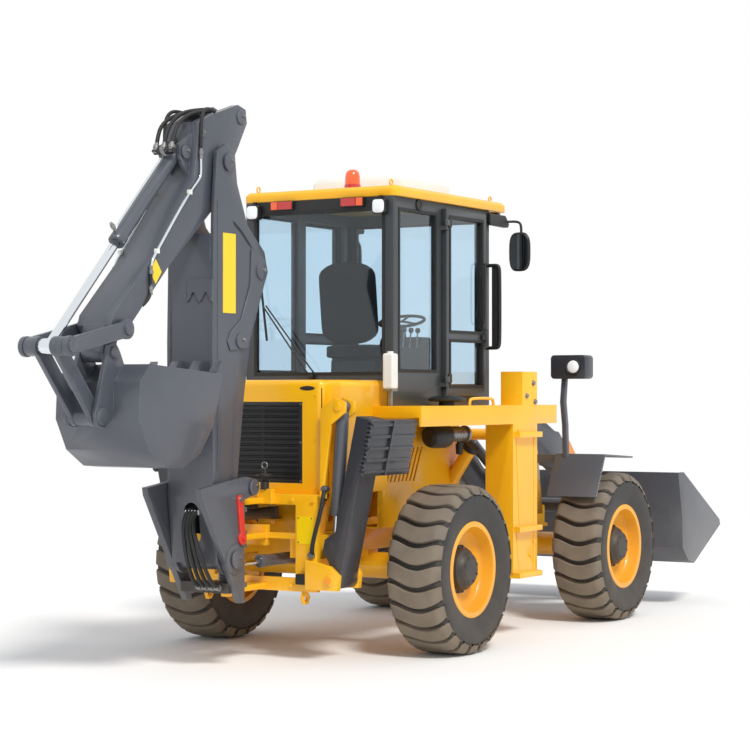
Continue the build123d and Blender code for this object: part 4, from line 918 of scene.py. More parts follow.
@dataclass
class Wheel:
    """One wheel: tyre with wavy bars, deep rim and planetary hub."""

    shop: Workshop
    name: str
    side: int
    radius: float = 0.588
    base_radius: float = 0.553
    half_width: float = 0.205
    bead_radius: float = 0.312
    bead_half: float = 0.165
    bars: int = 24
    groove: float = 0.034
    stations: int = 17

    def build(self) -> None:
        """Builds the tyre, the rim and the hub."""
        low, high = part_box(f"tyre_{self.name}")
        self.centre = (low + high) / 2
        self._tyre()
        self._rim()
        self._hub()

    def _crown(self, along: float) -> float:
        """Radius of the tread at a place across the tyre."""
        share = abs(along) / self.half_width
        return self.radius - 0.010 * share**2 - 0.052 * max(0.0, share - 0.86) / 0.14

    def _wave(self, along: float) -> float:
        """How far round the tyre a bar's middle lies at a place across it."""
        share = along / self.half_width
        return 0.026 * math.cos(share * math.pi * 0.9) - 0.016 * math.sin(share * math.pi * 0.8)

    def _tyre(self) -> None:
        """Turns the casing and repeats one wavy bar round it."""
        out, width, base = self.bead_half, self.half_width, self.base_radius
        wall = [
            (-out, self.bead_radius), (-out - 0.014, 0.338), (-out - 0.030, 0.380), (-width, 0.440),
            (-width - 0.004, 0.485), (-width + 0.004, 0.520), (-width + 0.022, base - 0.008),
            (-0.10, base),
        ]
        profile = wall + [(-along, radius) for along, radius in reversed(wall)]
        casing = Shape().turned(profile, self.centre, (0, 1, 0), 96)
        piece = casing.done(f"tyre_casing_{self.name}", self.shop.palette[Coat.TYRE_WALL])
        self.shop.fit(piece, f"wheel_{self.name}", Coat.TYRE_WALL, f"tyre_{self.name}")
        pitch = math.tau / self.bars
        rings = []
        for index in range(self.stations):
            along = self.half_width * 1.02 * (2 * index / (self.stations - 1) - 1)
            top = self._crown(along)
            narrow = 0.010 * max(0.0, abs(along) / self.half_width - 0.6)
            half = pitch / 2 - (self.groove / 2 + narrow) / self.radius
            middle = self._wave(along) / self.radius
            ring = []
            for share, radius in ((-1, base - 0.03), (-0.97, top - 0.006), (-0.86, top), (0.86, top),
                                  (0.97, top - 0.006),
                                  (1, base - 0.03)):
                angle = middle + half * share
                offset = Vector((radius * math.sin(angle), along, -radius * math.cos(angle)))
                ring.append(self.centre + offset)
            rings.append(ring)
        bar = Shape().loft(rings).done(f"tyre_tread_{self.name}", self.shop.palette[Coat.TREAD], 0.004)
        tread = self.shop.repeater.round_axis(bar, self.bars, self.centre, (0, 1, 0))
        self.shop.fit(tread, f"wheel_{self.name}", Coat.TREAD)

    def _rim(self) -> None:
        """Turns the rim with its dished disc."""
        well = self.bead_radius - 0.001
        out = self.bead_half + 0.001
        profile = [
            (-out - 0.014, well - 0.012), (-out - 0.014, 0.332), (-out, 0.334), (-out, well),
            (out, well), (out, 0.334), (out + 0.008, 0.337), (out + 0.015, 0.330), (out + 0.015, 0.296),
            (out - 0.010, 0.288), (0.100, 0.284), (0.082, 0.272), (0.070, 0.235), (0.062, 0.150),
            (0.062, 0.060), (0.040, 0.060), (0.040, 0.235), (0.066, 0.288), (0.060, well - 0.012),
        ]
        rim = Shape().turned(profile, self.centre, (0, self.side, 0), 96)
        piece = rim.done(f"wheel_rim_{self.name}", self.shop.palette[Coat.RIM_YELLOW], 0.0025)
        self.shop.fit(piece, f"wheel_{self.name}", Coat.RIM_YELLOW, f"rim_{self.name}")

    def _hub(self) -> None:
        """Turns the planetary hub and its cover and bolts them on."""
        body = f"wheel_{self.name}"
        hub = Shape().turned(
            [(0.055, 0), (0.055, 0.168), (0.070, 0.168), (0.078, 0.150), (0.118, 0.142), (0.138, 0.118),
             (0.150, 0.112),
             (0.160, 0.100), (0.164, 0.060), (0.164, 0)],
            self.centre, (0, self.side, 0), 60,
        )
        self.shop.make(hub, f"wheel_hub_{self.name}", body, Coat.DARK, 0.002)
        for label, radius, place, count, size in (
            ("nuts", 0.156, 0.072, 16, 0.011), ("cover_bolts", 0.088, 0.161, 8, 0.007)
        ):
            ring = [
                self.centre + Vector((radius * math.cos(a), self.side * place, radius * math.sin(a)))
                for a in (math.tau * (index + 0.5) / count for index in range(count))
            ]
            self.shop.bolts(f"wheel_{label}_{self.name}", body, ring, (0, self.side, 0), size, Coat.DARK)


@dataclass(frozen=True)
class Studio:
    """Floor, light and camera at the photograph's place."""

    camera_place: tuple[float, float, float] = (-12.6654, -7.8671, 1.8076)
    camera_turn: float = 30.667
    camera_tilt: float = 0.508
    focal_length: float = 99.33
    floor_half: float = 60.0
    sun_from: tuple[float, float, float] = (-0.75, -1.0, 1.35)
    sun_strength: float = 2.2
    sky: float = 0.72
    floor_fade: tuple[float, float] = (7.0, 16.0)

    def build(self) -> None:
        """Builds all of it and sets the view transform."""
        scene = bpy.context.scene
        scene.view_settings.view_transform = "Standard"
        self._camera(scene)
        self._sky(scene)
        self._sun()
        self._floor()

    def _camera(self, scene: bpy.types.Scene) -> None:
        """Places the camera that took the photograph."""
        lens = bpy.data.cameras.new("camera")
        lens.sensor_width = 36
        lens.lens = self.focal_length
        lens.clip_end = 200
        turn, tilt = math.radians(self.camera_turn), math.radians(self.camera_tilt)
        look = Vector((math.cos(tilt) * math.cos(turn), math.cos(tilt) * math.sin(turn), math.sin(tilt)))
        camera = bpy.data.objects.new("camera", lens)
        camera.location = self.camera_place
        camera.rotation_euler = look.to_track_quat("-Z", "Y").to_euler()
        scene.collection.objects.link(camera)
        scene.camera = camera

    def _sky(self, scene: bpy.types.Scene) -> None:
        """Makes a plain sky that is white where the camera, a mirror or glass looks at it."""
        scene.world = bpy.data.worlds.new("sky")
        scene.world.use_nodes = True
        graph = Graph(scene.world.node_tree)
        light = scene.world.node_tree.nodes["Background"]
        light.inputs["Color"].default_value = (0.93, 0.96, 1.0, 1.0)
        light.inputs["Strength"].default_value = self.sky
        white = graph.node("ShaderNodeBackground")
        white.inputs["Color"].default_value = (1.0, 1.0, 1.0, 1.0)
        path = graph.node("ShaderNodeLightPath")
        seen = graph.math("MAXIMUM", path.outputs["Is Camera Ray"], path.outputs["Is Transmission Ray"])
        seen = graph.math("MAXIMUM", seen, path.outputs["Is Glossy Ray"])
        blend = graph.node("ShaderNodeMixShader")
        graph.join(seen, blend.inputs[0])
        graph.join(light.outputs[0], blend.inputs[1])
        graph.join(white.outputs[0], blend.inputs[2])
        graph.join(blend.outputs[0], scene.world.node_tree.nodes["World Output"].inputs["Surface"])

    def _sun(self) -> None:
        """Adds one soft sun from behind the camera."""
        sun = bpy.data.lights.new("sun", "SUN")
        sun.energy = self.sun_strength
        sun.angle = math.radians(12)
        sun.color = (1.0, 0.97, 0.92)
        lamp = bpy.data.objects.new("sun", sun)
        lamp.rotation_euler = (-Vector(self.sun_from)).to_track_quat("-Z", "Y").to_euler()
        bpy.context.scene.collection.objects.link(lamp)

    def _floor(self) -> None:
        """Lays the pale floor, which fades into the white sky with its distance."""
        half = self.floor_half
        data = bpy.data.meshes.new("floor")
        data.from_pydata(
            [(-half, -half, 0), (half, -half, 0), (half, half, 0), (-half, half, 0)], [], [(0, 1, 2, 3)]
        )
        floor = bpy.data.objects.new("floor", data)
        bpy.context.scene.collection.objects.link(floor)
        paint = bpy.data.materials.new("pale_floor")
        paint.use_nodes = True
        graph = Graph(paint.node_tree)
        shader = paint.node_tree.nodes["Principled BSDF"]
        shader.inputs["Base Color"].default_value = (0.95, 0.95, 0.95, 1)
        shader.inputs["Roughness"].default_value = 0.9
        shader.inputs["Specular IOR Level"].default_value = 0.1
        place = graph.node("ShaderNodeTexCoord")
        length = graph.node("ShaderNodeVectorMath", operation="LENGTH")
        graph.join(place.outputs["Object"], length.inputs[0])
        ramp = graph.node("ShaderNodeMapRange", interpolation_type="SMOOTHSTEP")
        graph.join(length.outputs["Value"], ramp.inputs["Value"])
        ramp.inputs["From Min"].default_value, ramp.inputs["From Max"].default_value = self.floor_fade
        clear = graph.node("ShaderNodeBsdfTransparent")
        blend = graph.node("ShaderNodeMixShader")
        graph.join(ramp.outputs["Result"], blend.inputs[0])
        graph.join(shader.outputs[0], blend.inputs[1])
        graph.join(clear.outputs[0], blend.inputs[2])
        graph.join(blend.outputs[0], paint.node_tree.nodes["Material Output"].inputs["Surface"])
        data.materials.append(paint)


@dataclass(frozen=True)
class Skins:
    """Rounded copies of the construction nodes whose shape is already right."""

    shop: Workshop
    round_edges: float = 0.003

    def build(self) -> None:
        """Dresses each node by the table of name beginnings."""
        table = (
            ("rear_frame", Coat.YELLOW), ("backhoe_mount", Coat.YELLOW), ("mount_lugs", Coat.YELLOW),
            ("engine_hood", Coat.YELLOW), ("side_panels", Coat.YELLOW),
            ("deck", Coat.YELLOW), ("cab_roof", Coat.YELLOW), ("front_frame", Coat.YELLOW),
            ("front_axle", Coat.YELLOW), ("rear_axle", Coat.YELLOW), ("radiator_grille", Coat.BLACK),
            ("engine_block", Coat.DARK), ("cab_frame", Coat.CAB_GREY), ("door_", Coat.CAB_GREY),
            # head_lamps and stabiliser_leg take the slate darkened for painted shade.
            ("front_fenders", Coat.SLATE), ("head_lamps", Coat.DEEP_SLATE), ("lift_arms", Coat.SLATE),
            ("loader_bucket", Coat.SLATE), ("king_post", Coat.SLATE), ("boom", Coat.SLATE),
            ("dipper", Coat.SLATE), ("guide_links", Coat.SLATE), ("bucket_link", Coat.SLATE),
            ("hoe_bucket", Coat.SLATE), ("stabiliser_leg", Coat.DEEP_SLATE),
        )
        for node in sorted(self.shop.frame["nodes"]):
            if node.startswith(("tyre_", "rim_", "cab_fittings", "cab_interior", "roof_equipment")):
                continue
            if "_rod" in node:
                self.shop.skin(node, Coat.CHROME, 0.0015)
            elif "_barrel" in node:
                self.shop.skin(node, Coat.SLATE, 0.0025)
            else:
                coat = next(coat for start, coat in table if node.startswith(start))
                self.shop.skin(node, coat, self.round_edges)


@dataclass(frozen=True)
class EnginePart:
    """Grille screen, screws, black ovals painted as the shade of the hand holes, and small plates on the hood
    and the plate under it.
    """

    shop: Workshop
    face: float = -0.900
    half: float = 0.294
    low: float = 1.226
    high: float = 1.724
    fins: int = 44
    plate: float = -0.9995

    def build(self) -> None:
        """Builds everything on the engine hood and the rear plate."""
        self._screen()
        self._hand_hole_shade()
        self._plates()
        self._tow_pin()

    def _screen(self) -> None:
        """Puts a fine black screen behind the frame of the grille, and screws at its corners."""
        back = Shape().box(
            (self.face + 0.0165, -self.half, self.low), (self.face + 0.0195, self.half, self.high)
        )
        self.shop.make(back, "grille_screen", "rear", Coat.INSIDE)
        step = (self.high - self.low) / self.fins
        fin = Shape().box(
            (self.face - 0.001, -self.half, self.low + 0.001),
            (self.face + 0.0018, self.half, self.low + step * 0.5),
        )
        fins = self.shop.repeater.row(
            fin.done("grille_fins", self.shop.palette[Coat.BLACK]), self.fins, (0, 0, step)
        )
        self.shop.fit(fins, "rear", Coat.BLACK)
        corners = [(self.face, y, z) for y in (-0.307, 0.307) for z in (1.214, 1.475, 1.736)]
        self.shop.bolts("grille_screws", "rear", corners, (-1, 0, 0), 0.007)
        lips = [(self.face, y, z) for y in (-0.425, 0.425) for z in (1.17, 1.5, 1.80)]
        self.shop.bolts("hood_bolts", "rear", lips, (-1, 0, 0), 0.008, Coat.YELLOW)

    def _hand_hole_shade(self) -> None:
        """Sets flat black ovals high on the hood, painted shade that stands for the hand holes."""
        for label, side in SIDES.items():
            outline = [
                (side * 0.36 + 0.060 * math.cos(a), 1.842 + 0.015 * math.sin(a))
                for a in (math.tau * index / 32 for index in range(32))
            ]
            # A flat black oval flush with the hood: painted shade in place of the hole's hollow.
            painted_hole = Shape().prism(outline, Axis.X, self.face - 0.002, self.face + 0.004)
            self.shop.make(painted_hole, f"hood_hand_hole_{label}", "rear", Coat.RUBBER, 0.001)

    def _plates(self) -> None:
        """Adds the blank plate with its rivets and the black block beside the legs."""
        plate = Shape().box((-1.0025, -0.470, 0.800), (self.plate, -0.345, 0.985))
        self.shop.make(plate, "rear_blank_plate", "rear", Coat.PLATE, 0.0008)
        rivets = [(-1.0025, y, z) for y in (-0.460, -0.355) for z in (0.812, 0.973)]
        self.shop.bolts("rear_plate_rivets", "rear", rivets, (-1, 0, 0), 0.004)
        block = Shape().box((-1.035, -0.450, 0.530), (self.plate, -0.350, 0.600))
        self.shop.make(block, "rear_black_block", "rear", Coat.BLACK, 0.004)
        rows = [
            (-1.0, side * y, z)
            for side in (1, -1) for y, z in ((0.47, 0.52), (0.47, 1.09), (0.30, 1.095), (0.30, 0.52))
        ]
        self.shop.bolts("rear_plate_bolts", "rear", rows, (-1, 0, 0), 0.013, Coat.YELLOW)
        lug_bolts = [(-0.995, side * y, z) for side in (1, -1) for y, z in ((0.462, 0.62), (0.462, 0.66))]
        self.shop.bolts("leg_lug_bolts", "rear", lug_bolts, (-1, 0, 0), 0.010)

    def _tow_pin(self) -> None:
        """Adds the drop pin with its disc and ring on the plate's upper edge."""
        bracket = Shape().box((-1.045, -0.165, 1.062), (self.plate, -0.045, 1.165))
        self.shop.make(bracket, "tow_pin_bracket", "rear", Coat.YELLOW, 0.004)
        pin = Shape().turned(
            [(1.160, 0), (1.160, 0.030), (1.205, 0.030), (1.222, 0.016), (1.248, 0.016), (1.250, 0.060),
             (1.262, 0.062),
             (1.266, 0.024), (1.300, 0.020), (1.304, 0)],
            (-1.030, -0.102, 0), (0, 0, 1), 36,
        )
        self.shop.make(pin, "tow_pin", "rear", Coat.DARK, 0.0015)
        loop = [
            (-1.030, -0.102 + 0.022 * math.cos(a), 1.322 + 0.022 * math.sin(a))
            for a in (math.tau * index / 12 for index in range(13))
        ]
        self.shop.tube("tow_pin_ring", "rear", Coat.STEEL, loop, 0.005, False)


@dataclass(frozen=True)
class Hoses:
    """Hydraulic hoses and pipes of the backhoe, held by the machine at both ends."""

    shop: Workshop
    radius: float = 0.0135

    def build(self) -> None:
        """Builds the runs over the upper pivot, along the dipper and out of the boom's foot."""
        self._upper_pivot()
        self._dipper_pipes()
        self._boom_foot()
        self._stabilisers()
        self._boom_cylinder()

    def _crossing(
        self, name: str, points: Sequence[Point]
    ) -> None:
        """Makes a hose that rides on no body.

        Args:
            name: Name of the hose.
            points: Its line from the first body to the second.
        """
        piece = self.shop.tube(name, "", Coat.RUBBER, points, self.radius)
        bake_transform(piece)

    def _fittings(
        self, name: str, body: str, places: Iterable[tuple[Point, Point]], radius: float = 0.0
    ) -> None:
        """Makes the bright ends of hoses.

        Args:
            name: Name of the piece.
            body: Body that it rides on.
            places: Middle and direction of each.
            radius: Radius of the hose, or 0 for the usual one.
        """
        thick = radius or self.radius
        shape = Shape()
        for centre, along in places:
            shape.turned(
                [(-0.034, 0), (-0.034, thick * 1.25), (-0.004, thick * 1.25), (-0.004, thick * 1.6),
                 (0.018, thick * 1.6),
                 (0.018, thick * 1.1), (0.034, thick * 1.1), (0.034, 0)],
                centre, along, 12,
            )
        self.shop.make(shape, name, body, Coat.STEEL, 0.001)

    def _cylinder_pipe(
        self, name: str, body: str, foot: tuple[float, float], eye: tuple[float, float],
        stations: Sequence[tuple[float, float]], port_rise: float,
    ) -> list[tuple[Point, Point]]:
        """Runs a bright pipe along a cylinder's barrel.

        Args:
            name: Start of the pipe's name.
            body: The barrel's body.
            foot: X and Z of the cylinder's base pin.
            eye: X and Z of its rod's pin.
            stations: Place along the cylinder and height above its axis, for each point of the pipe.
            port_rise: Height of the ports above the axis.

        Returns:
            Middle and direction of the port at each end of the pipe.
        """
        base = Vector((foot[0], 0, foot[1]))
        along = Vector((eye[0] - foot[0], 0, eye[1] - foot[1])).normalized()
        out = Vector((along.z, 0, -along.x))
        pipe = [base + along * place + out * rise for place, rise in stations]
        self.shop.tube(f"{name}_pipe", body, Coat.CHROME, pipe, CYLINDER_PIPE_RADIUS)
        ends = (stations[0][0], stations[-1][0])
        return [(base + along * place + out * port_rise, out) for place in ends]

    def _upper_pivot(self) -> None:
        """Leads hoses over the dipper's top, two to the bucket cylinder and one down each face."""
        ends = []
        for index, (y, rise) in enumerate(((-0.040, 0.0), (0.0, 0.012), (0.040, 0.0))):
            points = [
                (-1.420, y, 3.600), (-1.500, y, 3.665 + rise), (-1.690, y * 1.2, 3.640 + rise),
                (-1.850, y * 1.4, 3.600 + rise), (-1.970, y * 1.6, 3.530), (-2.012, y * 1.6, 3.450),
                (-2.028, y * 1.5, 3.395),
            ]
            self._crossing(
                f"pivot_hose_{index + 1}", points,
            )
            ends.append(((-2.034, y * 1.5, 3.372), (0.25, 0, 1)))
        self._fittings("pivot_hose_ends", "hoe_barrel", ends)
        block = Shape().prism(
            [(-2.004, 3.352), (-2.026, 3.328), (-2.062, 3.352), (-2.030, 3.378)], Axis.Y, -0.080, 0.080
        )
        self.shop.make(block, "pivot_hose_block", "hoe_barrel", Coat.DARK, 0.003)
        for label, side in SIDES.items():
            y = side * 0.144
            points = [
                (-1.640, side * 0.118, 3.640), (-1.740, side * 0.128, 3.655), (-1.810, y, 3.610),
                (-1.832, y, 3.520), (-1.830, y, 3.380),
            ]
            self.shop.tube(f"face_hose_{label}", "dipper", Coat.RUBBER, points, 0.012)
            self._fittings(f"face_hose_end_{label}", "dipper", [((-1.829, y, 3.345), (0, 0, 1))], 0.011)

    def _dipper_pipes(self) -> None:
        """Runs a bright pipe down each side of the dipper, and one along the bucket cylinder."""
        for label, side in SIDES.items():
            y = side * 0.142
            pipe = [
                (-1.829, y, 3.330), (-1.822, y, 3.215), (-1.850, y, 3.175), (-1.972, y, 3.068),
                (-2.310, y, 2.675), (-2.352, y, 2.620), (-2.358, y, 2.560),
            ]
            self.shop.tube(f"dipper_pipe_{label}", "dipper", Coat.CHROME, pipe, 0.009)
            hose = [
                (-2.358, y, 2.575), (-2.362, y, 2.500), (-2.358, y, 2.430), (-2.385, y * 0.96, 2.380),
                (-2.420, side * 0.125, 2.350),
            ]
            self.shop.tube(f"dipper_hose_{label}", "dipper", Coat.RUBBER, hose, 0.011)
            self._fittings(
                f"dipper_pipe_end_{label}", "dipper",
                [((-2.358, y, 2.565), (0.1, 0, -1)), ((-2.360, y, 2.450), (0, 0, 1))], 0.010,
            )
            clamps = Shape()
            for x, z in ((-1.950, 3.088), (-2.296, 2.692)):
                low, high = sorted((side * 0.1295, side * 0.155))
                clamps.box((x - 0.015, low, z - 0.015), (x + 0.015, high, z + 0.015))
            self.shop.make(clamps, f"dipper_pipe_clamps_{label}", "dipper", Coat.WHITE, 0.003)
        ports = self._cylinder_pipe(
            "bucket_cylinder", "hoe_barrel", BUCKET_CYLINDER_FOOT, BUCKET_CYLINDER_EYE,
            ((0.09, 0.046), (0.11, 0.066), (0.20, 0.068), (0.72, 0.068), (0.80, 0.066), (0.815, 0.050)),
            0.084,
        )
        self._fittings("bucket_cylinder_ports", "hoe_barrel", ports, 0.010)

    def _boom_foot(self) -> None:
        """Leads four hoses from the oval opening down to the block between the king-post's plates."""
        for index, (y, drop) in enumerate(((-0.036, 0.0), (-0.012, 0.02), (0.012, 0.01), (0.036, 0.03))):
            points = [
                (-1.650, y, 1.110), (-1.700, y, 1.060), (-1.760, y, 1.000),
                (-1.790, y * 1.2 - 0.02, 0.900), (-1.785, y * 1.5 - 0.05, 0.780 - drop),
                (-1.745, y * 1.8 - 0.07, 0.640), (-1.670, y * 2.0 - 0.06, 0.560),
                (-1.600, y * 2.0 - 0.06, 0.540),
            ]
            self._crossing(
                f"foot_hose_{index + 1}", points
            )
        ends = [((-1.612, y * 2.0 - 0.06, 0.542), (1, 0, -0.1)) for y in (-0.036, -0.012, 0.012, 0.036)]
        self._fittings("foot_hose_ends", "king_post", ends)
        block = Shape().box((-1.590, -0.1895, 0.505), (-1.480, 0.1895, 0.575))
        self.shop.make(block, "king_post_valve_block", "king_post", Coat.DARK, 0.003)
        clamp = Shape().box((-1.7275, -0.058, 1.020), (-1.695, 0.058, 1.050))
        self.shop.make(clamp, "foot_hose_clamp", "boom", Coat.WHITE, 0.004)

    def _stabilisers(self) -> None:
        """Runs a hose down the rear plate beside each stabiliser."""
        for label, side in SIDES.items():
            points = [
                (-0.985, side * 0.560, 1.175), (-1.030, side * 0.575, 1.165),
                (-1.062, side * 0.585, 1.100), (-1.070, side * 0.560, 0.980),
                (-1.066, side * 0.520, 0.860), (-1.050, side * 0.490, 0.770),
                (-1.010, side * 0.470, 0.730), (-0.990, side * 0.460, 0.728),
            ]
            self.shop.tube(f"stabiliser_hose_{label}", "rear", Coat.RUBBER, points, 0.015)
            ends = [((-1.005, side * 0.567, 1.172), (-1, 0, 0)), ((-1.006, side * 0.465, 0.729), (-1, 0, 0))]
            self._fittings(f"stabiliser_hose_ends_{label}", "rear", ends, 0.015)

    def _boom_cylinder(self) -> None:
        """Adds the pipe along the boom's cylinder and the hose that loops out of it."""
        ports = self._cylinder_pipe(
            "boom_cylinder", "boom_barrel", BOOM_CYLINDER_FOOT, BOOM_EYE,
            ((0.12, 0.060), (0.15, 0.084), (0.30, 0.086), (0.90, 0.086), (1.00, 0.084), (1.02, 0.062)), 0.090,
        )
        loop = [
            (-1.270, 0.050, 2.060), (-1.215, 0.075, 2.085), (-1.170, 0.050, 2.060),
            (-1.160, 0.010, 1.960), (-1.160, -0.010, 1.840), (-1.180, 0.000, 1.740),
            (-1.230, 0.020, 1.715), (-1.290, 0.030, 1.735),
        ]
        self.shop.tube("boom_cylinder_hose", "boom_barrel", Coat.RUBBER, loop, 0.014)
        self._fittings("boom_cylinder_ports", "boom_barrel", ports, 0.010)


@dataclass(frozen=True)
class PinCaps:
    """Flanged caps with a bolt on the ends of the pins, and plates on the boom and the dipper."""

    shop: Workshop
    caps: tuple[tuple[str, str, float, float, float, float], ...] = (
        ("boom_foot", "king_post", -1.580, 0.730, 0.255, 0.060),
        ("boom_cylinder", "king_post", *BOOM_CYLINDER_FOOT, 0.245, 0.052),
        ("boom_eye", "boom", *BOOM_EYE, BOOM_SIDE, 0.056),
        ("dipper_cylinder", "boom", -1.450, 2.150, BOOM_SIDE, 0.050),
        ("dipper", "boom", -1.580, 3.310, BOOM_SIDE, 0.058),
        ("dipper_nose", "dipper", -1.360, 3.633, DIPPER_SIDE, 0.048),
        ("dipper_boss", "dipper", -1.795, 3.482, DIPPER_SIDE, 0.026),
        ("bucket_cylinder", "dipper", *BUCKET_CYLINDER_FOOT, 0.088, 0.044),
    )

    def build(self) -> None:
        """Builds the caps, the blank plates and the welded plates."""
        for name, body, x, z, face, radius in self.caps:
            caps = Shape()
            for side in (1, -1):
                caps.turned(
                    [(-0.002, 0), (-0.002, radius), (0.008, radius), (0.011, radius * 0.92), (0.011, 0)],
                    (x, side * face, z), (0, side, 0), 36,
                )
            self.shop.make(caps, f"pin_caps_{name}", body, Coat.SLATE, 0.0012)
            bolts = [(x + radius * 0.45, side * (face + 0.011), z + radius * 0.2) for side in (1, -1)]
            for side, place in zip((1, -1), bolts):
                self.shop.bolts(
                    f"pin_bolt_{name}_{side + 1}", body, [place], (0, side, 0), min(0.010, radius * 0.25)
                )
        self._doublers()
        self._blank_plates()

    def _doublers(self) -> None:
        """Welds the slanted doubling plates to the boom's cheeks."""
        outline = [
            (-1.318, 2.755), (-1.290, 2.768), (-1.150, 2.700), (-1.128, 2.630), (-1.200, 2.480),
            (-1.365, 2.105), (-1.560, 2.085), (-1.590, 2.140), (-1.560, 2.205), (-1.430, 2.300),
            (-1.330, 2.530),
        ]
        plates = Shape()
        for side in (1, -1):
            low, high = sorted((side * 0.1795, side * 0.1905))
            plates.prism(outline, Axis.Y, low, high)
        self.shop.make(plates, "boom_doubling_plates", "boom", Coat.SLATE, 0.004)
        # Thin dark sheets on the cheeks: painted shade that stands for the hollows of the slots.
        slot = [
            (-1.525, 2.936), (-1.500, 2.928), (-1.420, 2.880), (-1.345, 2.815), (-1.300, 2.775),
            (-1.308, 2.767), (-1.360, 2.800), (-1.435, 2.862), (-1.510, 2.908),
        ]
        slot_shade = Shape()
        for side in (1, -1):
            low, high = sorted((side * 0.1790, side * 0.1806))
            slot_shade.prism(slot, Axis.Y, low, high)
        self.shop.make(slot_shade, "boom_slots", "boom", Coat.INSIDE)
        seam = Shape()
        for side in (1, -1):
            low, high = sorted((side * 0.1790, side * 0.1812))
            seam.box((-1.700, low, 1.300), (-1.6965, high, 3.050))
        self.shop.make(seam, "boom_seams", "boom", Coat.DARK)

    def _blank_plates(self) -> None:
        """Puts the blank yellow plates on the boom and the dipper."""
        plate = Shape()
        diamond = [(-2.294 + 0.062 * c, 2.566 + 0.078 * s) for c, s in ((1, 0), (0, 1), (-1, 0), (0, -1))]
        for side in (1, -1):
            low, high = sorted((side * 0.1795, side * 0.1818))
            plate.box((-1.635, low, 2.330), (-1.490, high, 2.850))
        self.shop.make(plate, "boom_blank_plates", "boom", Coat.PLATE, 0.0008)
        marks = Shape()
        for side in (1, -1):
            low, high = sorted((side * 0.1295, side * 0.1318))
            marks.prism(diamond, Axis.Y, low, high)
        self.shop.make(marks, "dipper_blank_plates", "dipper", Coat.PLATE, 0.0008)
        bracket = [(0.018, 2.545), (-0.180, 2.545)]
        bracket += [
            (-0.180 + 0.0099 * step, 2.430 - 0.032 * math.cos(math.tau * step / 10)) for step in range(21)
        ]
        self.shop.make(
            Shape().prism(bracket, Axis.X, -1.757, -1.744), "boom_bracket", "boom", Coat.SLATE, 0.003
        )


@dataclass(frozen=True)
class CabGlass:
    """Panes with their black gaskets, the wiper and the black trim of the cab."""

    shop: Workshop
    thick: float = 0.006
    gasket: float = 0.018

    def build(self) -> None:
        """Glazes every opening of the cab and of the doors."""
        self._pane("cab_rear_pane", "rear", Axis.X, -0.190, -1, (-0.545, 1.940), (0.545, 3.110))
        self._pane("cab_front_pane", "rear", Axis.X, 1.250, 1, (-0.550, 1.860), (0.550, 3.110))
        for label, side in SIDES.items():
            self._pane(
                f"cab_side_pane_{label}", "rear", Axis.Y, side * CAB_SIDE, side, (-0.120, 1.960),
                (0.430, 3.110)
            )
            self._pane(
                f"cab_quarter_pane_{label}", "rear", Axis.Y, side * CAB_SIDE, side, (1.140, 1.960),
                (1.200, 3.110)
            )
            body = f"door_{label}"
            self._pane(
                f"door_low_pane_{label}", body, Axis.Y, side * DOOR_SIDE, side, (0.553, 1.850), (1.080, 2.200)
            )
            self._pane(
                f"door_high_pane_{label}", body, Axis.Y, side * DOOR_SIDE, side, (0.553, 2.250),
                (1.080, 3.102)
            )
        self._wiper()
        self._side_vent()

    def _pane(
        self, name: str, body: str, axis: Axis, face: float, out: int, low: tuple[float, float],
        high: tuple[float, float],
    ) -> None:
        """Makes a pane in an opening with a rubber gasket round it.

        Args:
            name: Name of the pane.
            body: Body that it rides on.
            axis: Axis square to the pane.
            face: Place of the wall's outer face on that axis.
            out: 1 or -1, the way out of the cab.
            low: Lowest corner of the opening in the pane's plane.
            high: Highest corner of the opening.
        """
        near, far = sorted((face - out * 0.022, face - out * (0.022 + self.thick)))
        tuck = self.gasket * 0.5
        sheet = Shape().prism(
            [(low[0] + tuck, low[1] + tuck), (high[0] - tuck, low[1] + tuck),
             (high[0] - tuck, high[1] - tuck),
             (low[0] + tuck, high[1] - tuck)], axis, near, far,
        )
        self.shop.make(sheet, name, body, Coat.GLASS)
        near, far = sorted((face + out * 0.004, face - out * 0.034))
        rim = Shape()
        width = self.gasket
        for a, b in (
            ((low[0] - 0.004, low[1] - 0.004), (low[0] + width, high[1] + 0.004)),
            ((high[0] - width, low[1] - 0.004), (high[0] + 0.004, high[1] + 0.004)),
            ((low[0] + width, low[1] - 0.004), (high[0] - width, low[1] + width)),
            ((low[0] + width, high[1] - width), (high[0] - width, high[1] + 0.004)),
        ):
            rim.prism([a, (b[0], a[1]), b, (a[0], b[1])], axis, near, far)
        self.shop.make(rim, f"{name}_gasket", body, Coat.RUBBER)

    def _wiper(self) -> None:
        """Adds the rear wiper with its two arms."""
        x = -0.214
        for index, shift in enumerate((0.0, 0.055)):
            arm = [
                (x + 0.010, 0.075 - shift, 1.945), (x - 0.010, 0.10 - shift, 1.985),
                (x - 0.008, 0.455 - shift * 0.5, 2.440)
            ]
            self.shop.tube(f"rear_wiper_arm_{index + 1}", "rear", Coat.BLACK, arm, 0.006, False)
        blade = Shape().prism(
            [(0.425, 2.190), (0.437, 2.186), (0.500, 2.680), (0.488, 2.684)], Axis.X, x + 0.004, x + 0.018
        )
        self.shop.make(blade, "rear_wiper_blade", "rear", Coat.RUBBER, 0.001)
        foot = Shape().turned(
            [(0, 0), (0, 0.026), (0.030, 0.022), (0.034, 0.010), (0.034, 0)], (-0.190, 0.050, 1.925),
            (-1, 0, 0), 24,
        )
        self.shop.make(foot, "rear_wiper_foot", "rear", Coat.BLACK, 0.002)

    def _side_vent(self) -> None:
        """Adds the round black vents high on the cab's sides."""
        for label, side in SIDES.items():
            vent = Shape().turned(
                [(0, 0), (0, 0.042), (0.006, 0.044), (0.014, 0.040), (0.014, 0.028), (0.008, 0.024),
                 (0.016, 0.0)],
                (0.165, side * CAB_SIDE, 3.150), (0, side, 0), 32,
            )
            self.shop.make(vent, f"cab_vent_{label}", "rear", Coat.BLACK, 0.001)


